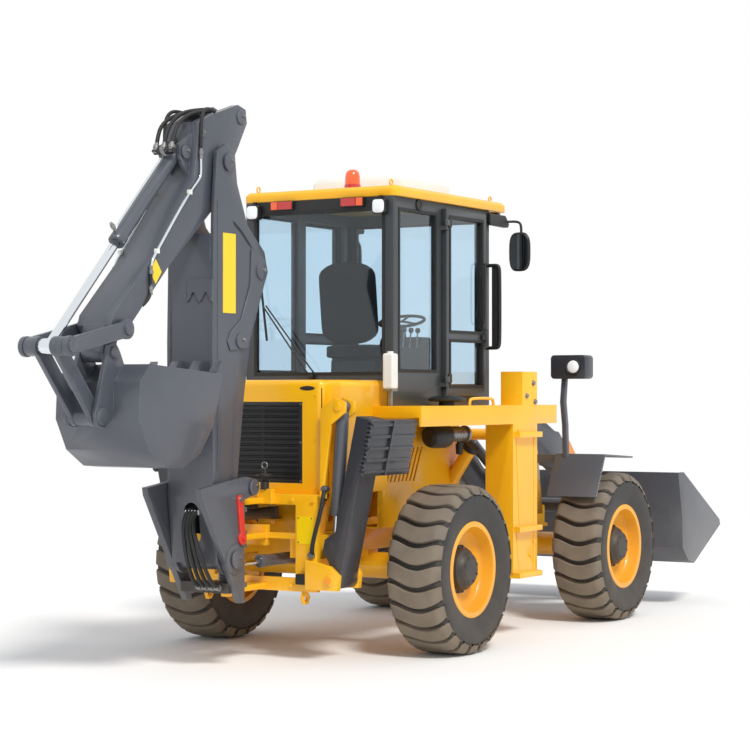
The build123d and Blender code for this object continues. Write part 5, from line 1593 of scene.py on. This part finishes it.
@dataclass(frozen=True)
class CabFittings:
    """Lamps, mirrors, visor, roof kit, hand rails and door locks."""

    shop: Workshop

    def build(self) -> None:
        """Builds every fitting outside the cab."""
        self._visor()
        for label, side in SIDES.items():
            self._work_lamp(label, side)
            self._tail_lamp(label, side)
            self._mirror(label, side)
            self._rail(label, side)
            self._door_trim(label, side)
        self._roof()

    def _visor(self) -> None:
        """Makes the black bar under the roof's front edge, which stands for the plain fittings."""
        band = Shape().box((-0.1965, -0.500, 3.112), (-0.1895, 0.500, 3.1895))
        self.shop.make(band, "lamp_band", "rear", Coat.BLACK, 0.002)
        bar = Shape().box((1.440, -0.590, 3.150), (1.498, 0.590, 3.1895))
        piece = self.shop.make(bar, "cab_visor", "rear", Coat.BLACK, 0.006)
        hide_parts("cab_fittings")

    def _work_lamp(self, label: str, side: int) -> None:
        """Makes a white work lamp under the roof's rear edge."""
        y = side * 0.530
        body = Shape().box((-0.250, y - 0.052, 3.062), (-0.186, y + 0.052, 3.168))
        self.shop.make(body, f"work_lamp_{label}", "rear", Coat.BLACK, 0.014)
        rings = []
        for x, grow in ((-0.247, 1.0), (-0.256, 0.97), (-0.261, 0.80), (-0.262, 0.40)):
            rings.append([
                (x, y + 0.045 * grow * math.copysign(abs(math.cos(a)) ** 0.5, math.cos(a)),
                 3.115 + 0.047 * grow * math.copysign(abs(math.sin(a)) ** 0.5, math.sin(a)))
                for a in (math.tau * index / 28 for index in range(28))
            ])
        self.shop.make(Shape().loft(rings), f"work_lamp_lens_{label}", "rear", Coat.CLEAR_LENS)
        stem = Shape().box((-0.225, y - 0.012, 3.166), (-0.200, y + 0.012, 3.192))
        self.shop.make(stem, f"work_lamp_stem_{label}", "rear", Coat.BLACK)

    def _tail_lamp(self, label: str, side: int) -> None:
        """Makes a tail lamp of a red and an amber lens in a black housing."""
        low, high = sorted((side * 0.200, side * 0.390))
        box = Shape().box((-0.218, low, 3.122), (-0.186, high, 3.1895))
        self.shop.make(box, f"tail_lamp_{label}", "rear", Coat.BLACK, 0.004)
        split = side * 0.330
        red_low, red_high = sorted((side * 0.206, split - side * 0.002))
        red = Shape().box((-0.227, red_low, 3.128), (-0.217, red_high, 3.184))
        self.shop.make(red, f"tail_lamp_red_{label}", "rear", Coat.RED_LENS, 0.003)
        amber_low, amber_high = sorted((split + side * 0.002, side * 0.384))
        amber = Shape().box((-0.227, amber_low, 3.128), (-0.217, amber_high, 3.184))
        self.shop.make(amber, f"tail_lamp_amber_{label}", "rear", Coat.AMBER_LENS, 0.003)

    def _mirror(self, label: str, side: int) -> None:
        """Makes a rounded mirror on its arm."""
        bar = Shape().prism(
            [(1.180, 3.090), (1.200, 3.080), (1.480, 3.075), (1.500, 3.100), (1.440, 3.165), (1.180, 3.165)],
            Axis.Y, *sorted((side * 0.621, side * 0.668)),
        )
        self.shop.make(bar, f"mirror_bracket_{label}", "rear", Coat.BLACK, 0.008)
        arm = [
            (1.470, side * 0.655, 3.120), (1.500, side * 0.700, 3.125), (1.505, side * 0.755, 3.115),
            (1.505, side * 0.765, 3.070), (1.505, side * 0.765, 3.020),
        ]
        self.shop.tube(f"mirror_arm_{label}", "rear", Coat.BLACK, arm, 0.010)
        rings = []
        for x, grow in ((1.488, 0.72), (1.494, 0.92), (1.505, 1.0), (1.518, 0.97), (1.521, 0.93)):
            ring = []
            for index in range(28):
                a = math.tau * index / 28
                wide = math.copysign(abs(math.cos(a)) ** 0.6, math.cos(a)) * 0.090 * grow
                tall = math.copysign(abs(math.sin(a)) ** 0.6, math.sin(a)) * 0.150 * grow
                ring.append((x, side * 0.750 + wide, 2.890 + tall))
            rings.append(ring)
        self.shop.make(Shape().loft(rings), f"mirror_{label}", "rear", Coat.BLACK)
        glass = [
            (side * 0.750 + math.copysign(abs(math.cos(a)) ** 0.6, math.cos(a)) * 0.078,
             2.890 + math.copysign(abs(math.sin(a)) ** 0.6, math.sin(a)) * 0.134)
            for a in (math.tau * index / 28 for index in range(28))
        ]
        back = Shape().prism(glass, Axis.X, 1.4865, 1.4885)
        self.shop.make(back, f"mirror_glass_{label}", "rear", Coat.MIRROR)

    def _rail(self, label: str, side: int) -> None:
        """Makes the wide black hand hold on the front pillar and the thin rod on the door."""
        y = side * 0.720
        rail = [
            (1.190, side * 0.618, 2.770), (1.195, side * 0.70, 2.772), (1.195, y + side * 0.012, 2.765),
            (1.196, y + side * 0.018, 2.70), (1.197, y + side * 0.018, 2.22),
            (1.196, y + side * 0.012, 2.155), (1.195, side * 0.70, 2.148), (1.190, side * 0.618, 2.150),
        ]
        self.shop.tube(f"hand_rail_{label}", "rear", Coat.BLACK, rail, 0.014)
        low, high = sorted((side * 0.672, side * 0.738))
        panel = Shape().box((1.1925, low, 2.160), (1.2005, high, 2.762))
        self.shop.make(panel, f"hand_rail_panel_{label}", "rear", Coat.RUBBER, 0.002)
        rod = [
            (1.095, side * 0.655, 2.775), (1.090, side * 0.690, 2.777), (1.060, side * 0.695, 2.777),
            (1.040, side * 0.695, 2.755), (1.038, side * 0.695, 2.62), (1.038, side * 0.695, 2.36),
            (1.038, side * 0.690, 2.325), (1.038, side * 0.655, 2.318),
        ]
        self.shop.tube(f"door_rail_{label}", f"door_{label}", Coat.BLACK, rod, 0.007)

    def _door_trim(self, label: str, side: int) -> None:
        """Adds the door's lock and its hinges' covers."""
        body = f"door_{label}"
        lock = Shape().box(
            (1.030, min(side * 0.658, side * 0.684), 2.205), (1.112, max(side * 0.658, side * 0.684), 2.245),
        )
        self.shop.make(lock, f"door_lock_{label}", body, Coat.BLACK, 0.006)
        for level, z in (("low", 1.930), ("high", 3.060)):
            cover = Shape().box(
                (0.530, min(side * 0.659, side * 0.670), z - 0.045),
                (0.575, max(side * 0.659, side * 0.670), z + 0.020),
            )
            self.shop.make(cover, f"door_hinge_{level}_{label}", body, Coat.BLACK, 0.003)

    def _roof(self) -> None:
        """Makes the white housing, the beacon and the lifting eyes on the roof."""
        rings = []
        for z, inset, round_off in (
            (3.265, 0.0, 0.02), (3.360, 0.004, 0.03), (3.400, 0.030, 0.05), (3.4145, 0.070, 0.06)
        ):
            low, high = (0.330 + inset, -0.390 + inset), (1.080 - inset, 0.390 - inset)
            ring = []
            for cx, cy, start in (
                (high[0], high[1], 0), (low[0], high[1], 1), (low[0], low[1], 2), (high[0], low[1], 3)
            ):
                mx = cx + (round_off if cx == low[0] else -round_off)
                my = cy + (round_off if cy == low[1] else -round_off)
                for step in range(5):
                    a = (start + step / 4) * math.pi / 2
                    ring.append((mx + round_off * math.cos(a), my + round_off * math.sin(a), z))
            rings.append(ring)
        piece = self.shop.make(Shape().loft(rings), "roof_housing", "rear", Coat.WHITE)
        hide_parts("roof_equipment")
        base = Shape().turned(
            [(3.264, 0), (3.264, 0.062), (3.300, 0.060), (3.306, 0.055), (3.306, 0)], (0, -0.170, 0),
            (0, 0, 1), 40,
        )
        self.shop.make(base, "beacon_base", "rear", Coat.RED_LENS, 0.002)
        dome = Shape().turned(
            [(3.305, 0), (3.305, 0.056), (3.360, 0.054), (3.388, 0.048), (3.405, 0.034), (3.412, 0.014),
             (3.4135, 0)],
            (0, -0.170, 0), (0, 0, 1), 40,
        )
        self.shop.make(dome, "beacon_dome", "rear", Coat.AMBER_LENS)
        for index, (x, y) in enumerate(((-0.120, 0.560), (-0.120, -0.560), (1.380, 0.560), (1.380, -0.560))):
            ring = [
                (x + 0.020 * math.cos(a), y, 3.290 + 0.020 * math.sin(a))
                for a in (math.tau * step / 12 for step in range(13))
            ]
            self.shop.tube(f"lifting_eye_{index + 1}", "rear", Coat.YELLOW, ring, 0.006, False)


@dataclass(frozen=True)
class Cabin:
    """Seat, console, wheel and levers inside the cab."""

    shop: Workshop

    def build(self) -> None:
        """Builds the interior, which stands for the plain one."""
        base = Shape().prism(
            [(0.265, CAB_FLOOR), (0.640, CAB_FLOOR), (0.620, 2.055), (0.285, 2.055)], Axis.Y, -0.190, 0.190
        )
        piece = self.shop.make(base, "seat_base", "rear", Coat.BLACK, 0.012)
        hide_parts("cab_interior")
        self._cushion("seat_cushion", (0.440, 0.0, 2.112), (0.235, 0.232, 0.056), (0, 0, 1))
        lean = Vector((-0.113, 0, 0.994))
        self._cushion("seat_back", (0.225, 0.0, 2.465), (0.062, 0.228, 0.305), lean)
        self._console()
        self._levers()

    def _cushion(self, name: str, centre: Point, half: Point, up: Point) -> None:
        """Makes a crowned cushion whose sides pull in between its corners.

        Args:
            name: Name of the piece.
            centre: Its middle.
            half: Half its size along X, Y and its own upright.
            up: Direction of its upright.
        """
        upright = Vector(up).normalized()
        first = Vector((upright.z, 0, -upright.x))
        shape, rings, steps = Shape(), [], 10
        for level in range(steps + 1):
            share = -1 + 2 * level / steps
            grow = max(0.0, 1 - abs(share) ** 7) ** (1 / 7) * 0.55 + 0.45
            ring = []
            for index in range(44):
                a = math.tau * index / 44
                c, s = math.cos(a), math.sin(a)
                wide = math.copysign(abs(c) ** 0.45, c) * (1 - 0.03 * (1 - abs(c)))
                deep = math.copysign(abs(s) ** 0.45, s) * (1 - 0.03 * (1 - abs(s)))
                point = Vector(centre) + first * wide * half[0] * grow
                point = point + Vector((0, 1, 0)) * deep * half[1] * grow
                ring.append(point + upright * share * half[2])
            rings.append(ring)
        shape.loft(rings)
        piece = shape.done(name, self.shop.palette[Coat.FABRIC])
        smooth = piece.modifiers.new("smooth", "SUBSURF")
        smooth.levels = smooth.render_levels = 1
        self.shop.fit(bake(piece), "rear", Coat.FABRIC)

    def _console(self) -> None:
        """Makes the console, the column and the steering wheel."""
        body = Shape().prism(
            [(0.905, CAB_FLOOR), (1.145, CAB_FLOOR), (1.145, 2.235), (0.980, 2.235), (0.905, 2.080)],
            Axis.Y, -0.175, 0.175
        )
        self.shop.make(body, "console", "rear", Coat.INSIDE, 0.015)
        column = [(1.020, 0, 2.200), (1.000, 0, 2.280), (0.995, 0, 2.330)]
        self.shop.tube("steering_column", "rear", Coat.BLACK, column, 0.028, False)
        tilt = Vector((-0.38, 0, 0.925)).normalized()
        first = Vector((tilt.z, 0, -tilt.x))
        middle = Vector((1.000, 0, 2.355))
        points = [
            middle + first * 0.120 * math.cos(a) + Vector((0, 0.185, 0)) * math.sin(a)
            for a in (math.tau * index / 28 for index in range(29))
        ]
        self.shop.tube("steering_wheel", "rear", Coat.RUBBER, points, 0.012, False)
        for index in range(3):
            a = math.tau * index / 3
            end = middle + first * 0.118 * math.cos(a) + Vector((0, 0.183, 0)) * math.sin(a)
            self.shop.tube(f"steering_spoke_{index + 1}", "rear", Coat.BLACK, [middle, end], 0.009, False)

    def _levers(self) -> None:
        """Sets the levers with round knobs beside the seat, on a side box."""
        box = Shape().box((0.300, -0.420, CAB_FLOOR), (0.700, -0.260, 2.140))
        self.shop.make(box, "side_console", "rear", Coat.INSIDE, 0.012)
        knobs = Shape()
        for index, x in enumerate((0.420, 0.520, 0.620)):
            top = Vector((x + 0.03, -0.335, 2.270))
            self.shop.tube(f"lever_{index + 1}", "rear", Coat.STEEL, [(x, -0.340, 2.135), top], 0.006, False)
            knobs.turned(
                [(-0.020, 0), (-0.018, 0.012), (0, 0.021), (0.018, 0.014), (0.022, 0)], top, (0.2, 0, 1), 16,
            )
        self.shop.make(knobs, "lever_knobs", "rear", Coat.BLACK)


@dataclass(frozen=True)
class DeckKit:
    """What stands on the deck and hangs under it."""

    shop: Workshop

    def build(self) -> None:
        """Builds the cleaner, handles, bottle, filters and filler neck."""
        cap = Shape().turned(
            [(1.719, 0), (1.719, 0.060), (1.748, 0.056), (1.750, 0.118), (1.757, 0.134), (1.768, 0.136),
             (1.782, 0.110),
             (1.793, 0.060), (1.797, 0)],
            (0.290, -0.780, 0), (0, 0, 1), 48,
        )
        self.shop.make(cap, "cleaner_cap", "rear", Coat.BLACK, 0.0015)
        for label, side in SIDES.items():
            handle = [
                (0.400, side * 0.905, 1.715), (0.400, side * 0.905, 1.750), (0.425, side * 0.905, 1.772),
                (0.745, side * 0.905, 1.772), (0.770, side * 0.905, 1.750), (0.770, side * 0.905, 1.715),
            ]
            self.shop.tube(f"deck_handle_{label}", "rear", Coat.YELLOW, handle, 0.011)
            bolts = [(x, side * 0.95, z) for x, z in ((1.330, 1.885), (1.220, 1.790), (1.360, 1.745))]
            self.shop.bolts(f"deck_box_bolts_{label}", "rear", bolts, (0, side, 0), 0.016)
            low = [(1.330, side * 0.95, 0.700), (1.270, side * 0.95, 0.600), (1.080, side * 0.95, 1.530)]
            self.shop.bolts(f"column_bolts_{label}", "rear", low, (0, side, 0), 0.013, Coat.YELLOW)
            self._step_recess(label, side)
        bottle = Shape().box((-0.350, -0.705, 1.835), (-0.265, -0.620, 2.085))
        self.shop.make(bottle, "washer_bottle", "rear", Coat.WHITE, 0.016)
        cap = Shape().turned(
            [(2.083, 0), (2.083, 0.022), (2.098, 0.022), (2.101, 0)], (-0.307, -0.662, 0), (0, 0, 1), 20
        )
        self.shop.make(cap, "washer_bottle_cap", "rear", Coat.WHITE, 0.001)
        strut = Shape().box((-0.320, -0.675, 1.700), (-0.294, -0.649, 1.842)).box(
            (-0.345, -0.700, 1.822), (-0.270, -0.625, 1.836)
        )
        self.shop.make(strut, "washer_bottle_bracket", "rear", Coat.STEEL, 0.001)
        self._filters()

    def _step_recess(self, label: str, side: int) -> None:
        """Frames the tapered recesses between the steps."""
        frame = Shape()
        face = sorted((side * 0.9495, side * 0.9535))
        for low, high in ((0.830, 1.475), (0.490, 0.775)):
            for outline in (
                [(1.045, high), (1.060, high), (1.110, low), (1.095, low)],
                [(1.355, high), (1.340, high), (1.340, low), (1.355, low)],
            ):
                frame.prism(outline, Axis.Y, *face)
        self.shop.make(frame, f"step_frame_{label}", "rear", Coat.YELLOW, 0.001)

    def _filters(self) -> None:
        """Hangs the filters under the deck and sets the filler neck beside them."""
        bowl = Shape().turned(
            [(-0.12, 0), (-0.115, 0.050), (-0.095, 0.078), (-0.06, 0.088), (0.06, 0.088), (0.085, 0.080),
             (0.085, 0)],
            (0.420, -0.640, 1.500), (1, -0.25, 0), 36,
        )
        self.shop.make(bowl, "filter_bowl", "rear", Coat.BLACK, 0.001)
        ribs = [(0, 0), (0, 0.050)]
        for index in range(7):
            ribs += [
                (0.012 + index * 0.028, 0.050), (0.020 + index * 0.028, 0.056), (0.028 + index * 0.028, 0.050)
            ]
        ribs += [(0.215, 0.050), (0.215, 0.062), (0.235, 0.062), (0.235, 0)]
        metal = Shape().turned(ribs, (0.500, -0.640, 1.510), (1, -0.25, 0), 36)
        self.shop.make(metal, "filter_body", "rear", Coat.STEEL)
        bracket = Shape().box((0.390, -0.660, 1.570), (0.640, -0.500, 1.6405))
        self.shop.make(bracket, "filter_bracket", "rear", Coat.DARK, 0.003)
        small = Shape().turned(
            [(1.360, 0), (1.360, 0.024), (1.400, 0.028), (1.440, 0.028), (1.440, 0.018), (1.5, 0.018),
             (1.5, 0)],
            (0.700, -0.660, 0), (0, 0, 1), 20,
        )
        self.shop.make(small, "filter_drain", "rear", Coat.BLACK, 0.001)
        neck = Shape().bar((0.900, -0.480, 1.150), (0.860, -0.660, 1.390), 0.050, 32)
        self.shop.make(neck, "filler_neck", "rear", Coat.YELLOW, 0.002)
        along = Vector((-0.040, -0.180, 0.240)).normalized()
        cap = Shape().turned(
            [(0, 0), (0, 0.062), (0.032, 0.062), (0.040, 0.054), (0.040, 0)], (0.860, -0.660, 1.390), along,
            28,
        )
        self.shop.make(cap, "filler_cap", "rear", Coat.BLACK, 0.002)


@dataclass(frozen=True)
class FrontKit:
    """Lamps' bezels and lenses, the blank triangle and the pin bolts of the loader."""

    shop: Workshop

    def build(self) -> None:
        """Builds the details in front."""
        for label, side in SIDES.items():
            for name, x, out in (("rear", 2.150, -1), ("front", 2.300, 1)):
                y = side * (0.900 if out < 0 else 0.850)
                bezel = Shape().turned(
                    [(-0.004, 0), (-0.004, 0.066), (0.012, 0.066), (0.016, 0.058), (0.010, 0.050),
                     (0.010, 0)],
                    (x, y, 2.018), (out, 0, 0), 40,
                )
                self.shop.make(bezel, f"head_lamp_bezel_{name}_{label}", "front", Coat.BLACK, 0.001)
                lens = Shape().turned(
                    [(0.006, 0), (0.006, 0.049), (0.011, 0.049), (0.018, 0.036), (0.022, 0.016), (0.023, 0)],
                    (x, y, 2.018), (out, 0, 0), 32,
                )
                self.shop.make(lens, f"head_lamp_lens_{name}_{label}", "front", Coat.CLEAR_LENS)
            face = sorted((side * 0.4795, side * 0.4820))
            triangle = [(2.830, 1.303), (3.082, 1.297), (2.955, 1.417)]
            self.shop.make(
                Shape().prism(triangle, Axis.Y, *face), f"arm_blank_triangle_{label}", "arms", Coat.SIGN,
                0.0006
            )
        self._caps()

    def _caps(self) -> None:
        """Bolts the ends of the lift arms' pins."""
        for label, side in SIDES.items():
            for name, body, x, z, face in (
                ("arm_pivot", "front", 2.130, 1.620, 0.518), ("lift_eye", "arms", 2.487, 1.300, 0.480),
            ):
                self.shop.bolts(f"{name}_bolt_{label}", body, [(x, side * face, z)], (0, side, 0), 0.009)


@dataclass(frozen=True)
class Arms:
    """Red lock levers on the king-post and the teeth, ribs and bolts of the stabilisers."""

    shop: Workshop
    pin: tuple[float, float] = (0.620, 0.565)
    lean: float = math.radians(12)
    pad: tuple[float, float] = (0.725, 1.105)
    face: tuple[float, float] = (-0.080, -0.052)
    edges: tuple[float, float] = (-0.990, -0.400)
    teeth: int = 13

    def build(self) -> None:
        """Builds them on both sides."""
        for label, side in SIDES.items():
            self._lever(label, side)
            self._teeth(label, side)
            self._ribs(label, side)
            for x, out in ((-1.042, -1), (-0.723, 1)):
                self.shop.bolts(
                    f"leg_pin_bolt_{label}_{out + 1}", "rear", [(x, side * self.pin[0], self.pin[1])],
                    (out, 0, 0), 0.022,
                    Coat.SIGN,
                )

    def _lever(self, label: str, side: int) -> None:
        """Makes a flat lever with a round lower end on a cheek of the king-post."""
        top, low, half, end = (-1.534, 1.120), (-1.504, 0.862), 0.026, 0.042
        outline = [
            (top[0] + half * math.cos(a), top[1] + half * math.sin(a))
            for a in (math.pi * i / 10 for i in range(11))
        ]
        outline += [
            (low[0] - end * math.cos(a), low[1] - end * math.sin(a))
            for a in (-0.9 + (math.pi + 1.8) * i / 16 for i in range(17))
        ]
        plate = Shape().prism(outline, Axis.Y, *sorted((side * 0.2345, side * 0.252)))
        self.shop.make(plate, f"lock_lever_{label}", "king_post", Coat.RED, 0.003)
        for name, place in (("top", top), ("low", low)):
            self.shop.bolts(
                f"lock_bolt_{name}_{label}", "king_post", [(place[0], side * 0.252, place[1])],
                (0, side, 0), 0.013,
                Coat.RED if name == "low" else Coat.STEEL,
            )

    def _place(self, side: int, along: float, inward: float, x: float) -> Vector:
        """Point of a leg from its place along it, towards the machine and along X."""
        s, c = math.sin(self.lean), math.cos(self.lean)
        y = side * (self.pin[0] + along * s - inward * c)
        return Vector((x, y, self.pin[1] + along * c + inward * s))

    def _teeth(self, label: str, side: int) -> None:
        """Cuts the pad's two long edges into teeth."""
        step = (self.pad[1] - self.pad[0]) / self.teeth
        for name, edge, out in (("rear", self.edges[0], -0.018), ("front", self.edges[1], 0.012)):
            start = self.pad[0] + step * 0.1
            rings = [
                [
                    self._place(side, start, inward, edge - out * 0.1),
                    self._place(side, start + step * 0.8, inward, edge - out * 0.1),
                    self._place(side, start + step * 0.62, inward, edge + out),
                    self._place(side, start + step * 0.38, inward, edge + out),
                ]
                for inward in self.face
            ]
            if (side > 0) != (out > 0):
                rings.reverse()
            # The teeth take the slate darkened for painted shade, as the legs do.
            tooth = Shape().loft(rings).done(
                f"pad_teeth_{name}_{label}", self.shop.palette[Coat.DEEP_SLATE], 0.002
            )
            shift = self._place(side, step, 0, 0) - self._place(side, 0, 0, 0)
            teeth = self.shop.repeater.row(tooth, self.teeth, tuple(shift))
            self.shop.fit(teeth, f"leg_{label}", Coat.DEEP_SLATE)

    def _ribs(self, label: str, side: int) -> None:
        """Welds the lengthwise rib to the pad's face."""
        rings = []
        for along in (self.pad[0] + 0.004, self.pad[1] - 0.004):
            rings.append([
                self._place(side, along, self.face[0] - 0.020, -0.735),
                self._place(side, along, self.face[0] - 0.020, -0.715),
                self._place(side, along, self.face[0] + 0.002, -0.715),
                self._place(side, along, self.face[0] + 0.002, -0.735),
            ])
        if side < 0:
            rings.reverse()
        # The rib takes the slate darkened for painted shade.
        self.shop.make(Shape().loft(rings), f"pad_rib_{label}", f"leg_{label}", Coat.DEEP_SLATE, 0.002)


def main() -> None:
    """Builds every sub-assembly in order."""
    logging.basicConfig(level=logging.INFO, format="%(name)s: %(message)s")
    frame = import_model()
    shop = Workshop(frame)
    Studio().build()
    Skins(shop).build()
    for name in ("rear_left", "rear_right", "front_left", "front_right"):
        Wheel(shop, name, SIDES[name.split("_")[1]]).build()
    for kit in (EnginePart, Hoses, PinCaps, Arms, CabGlass, CabFittings, Cabin, DeckKit, FrontKit):
        kit(shop).build()


if __name__ == "__main__":
    main()
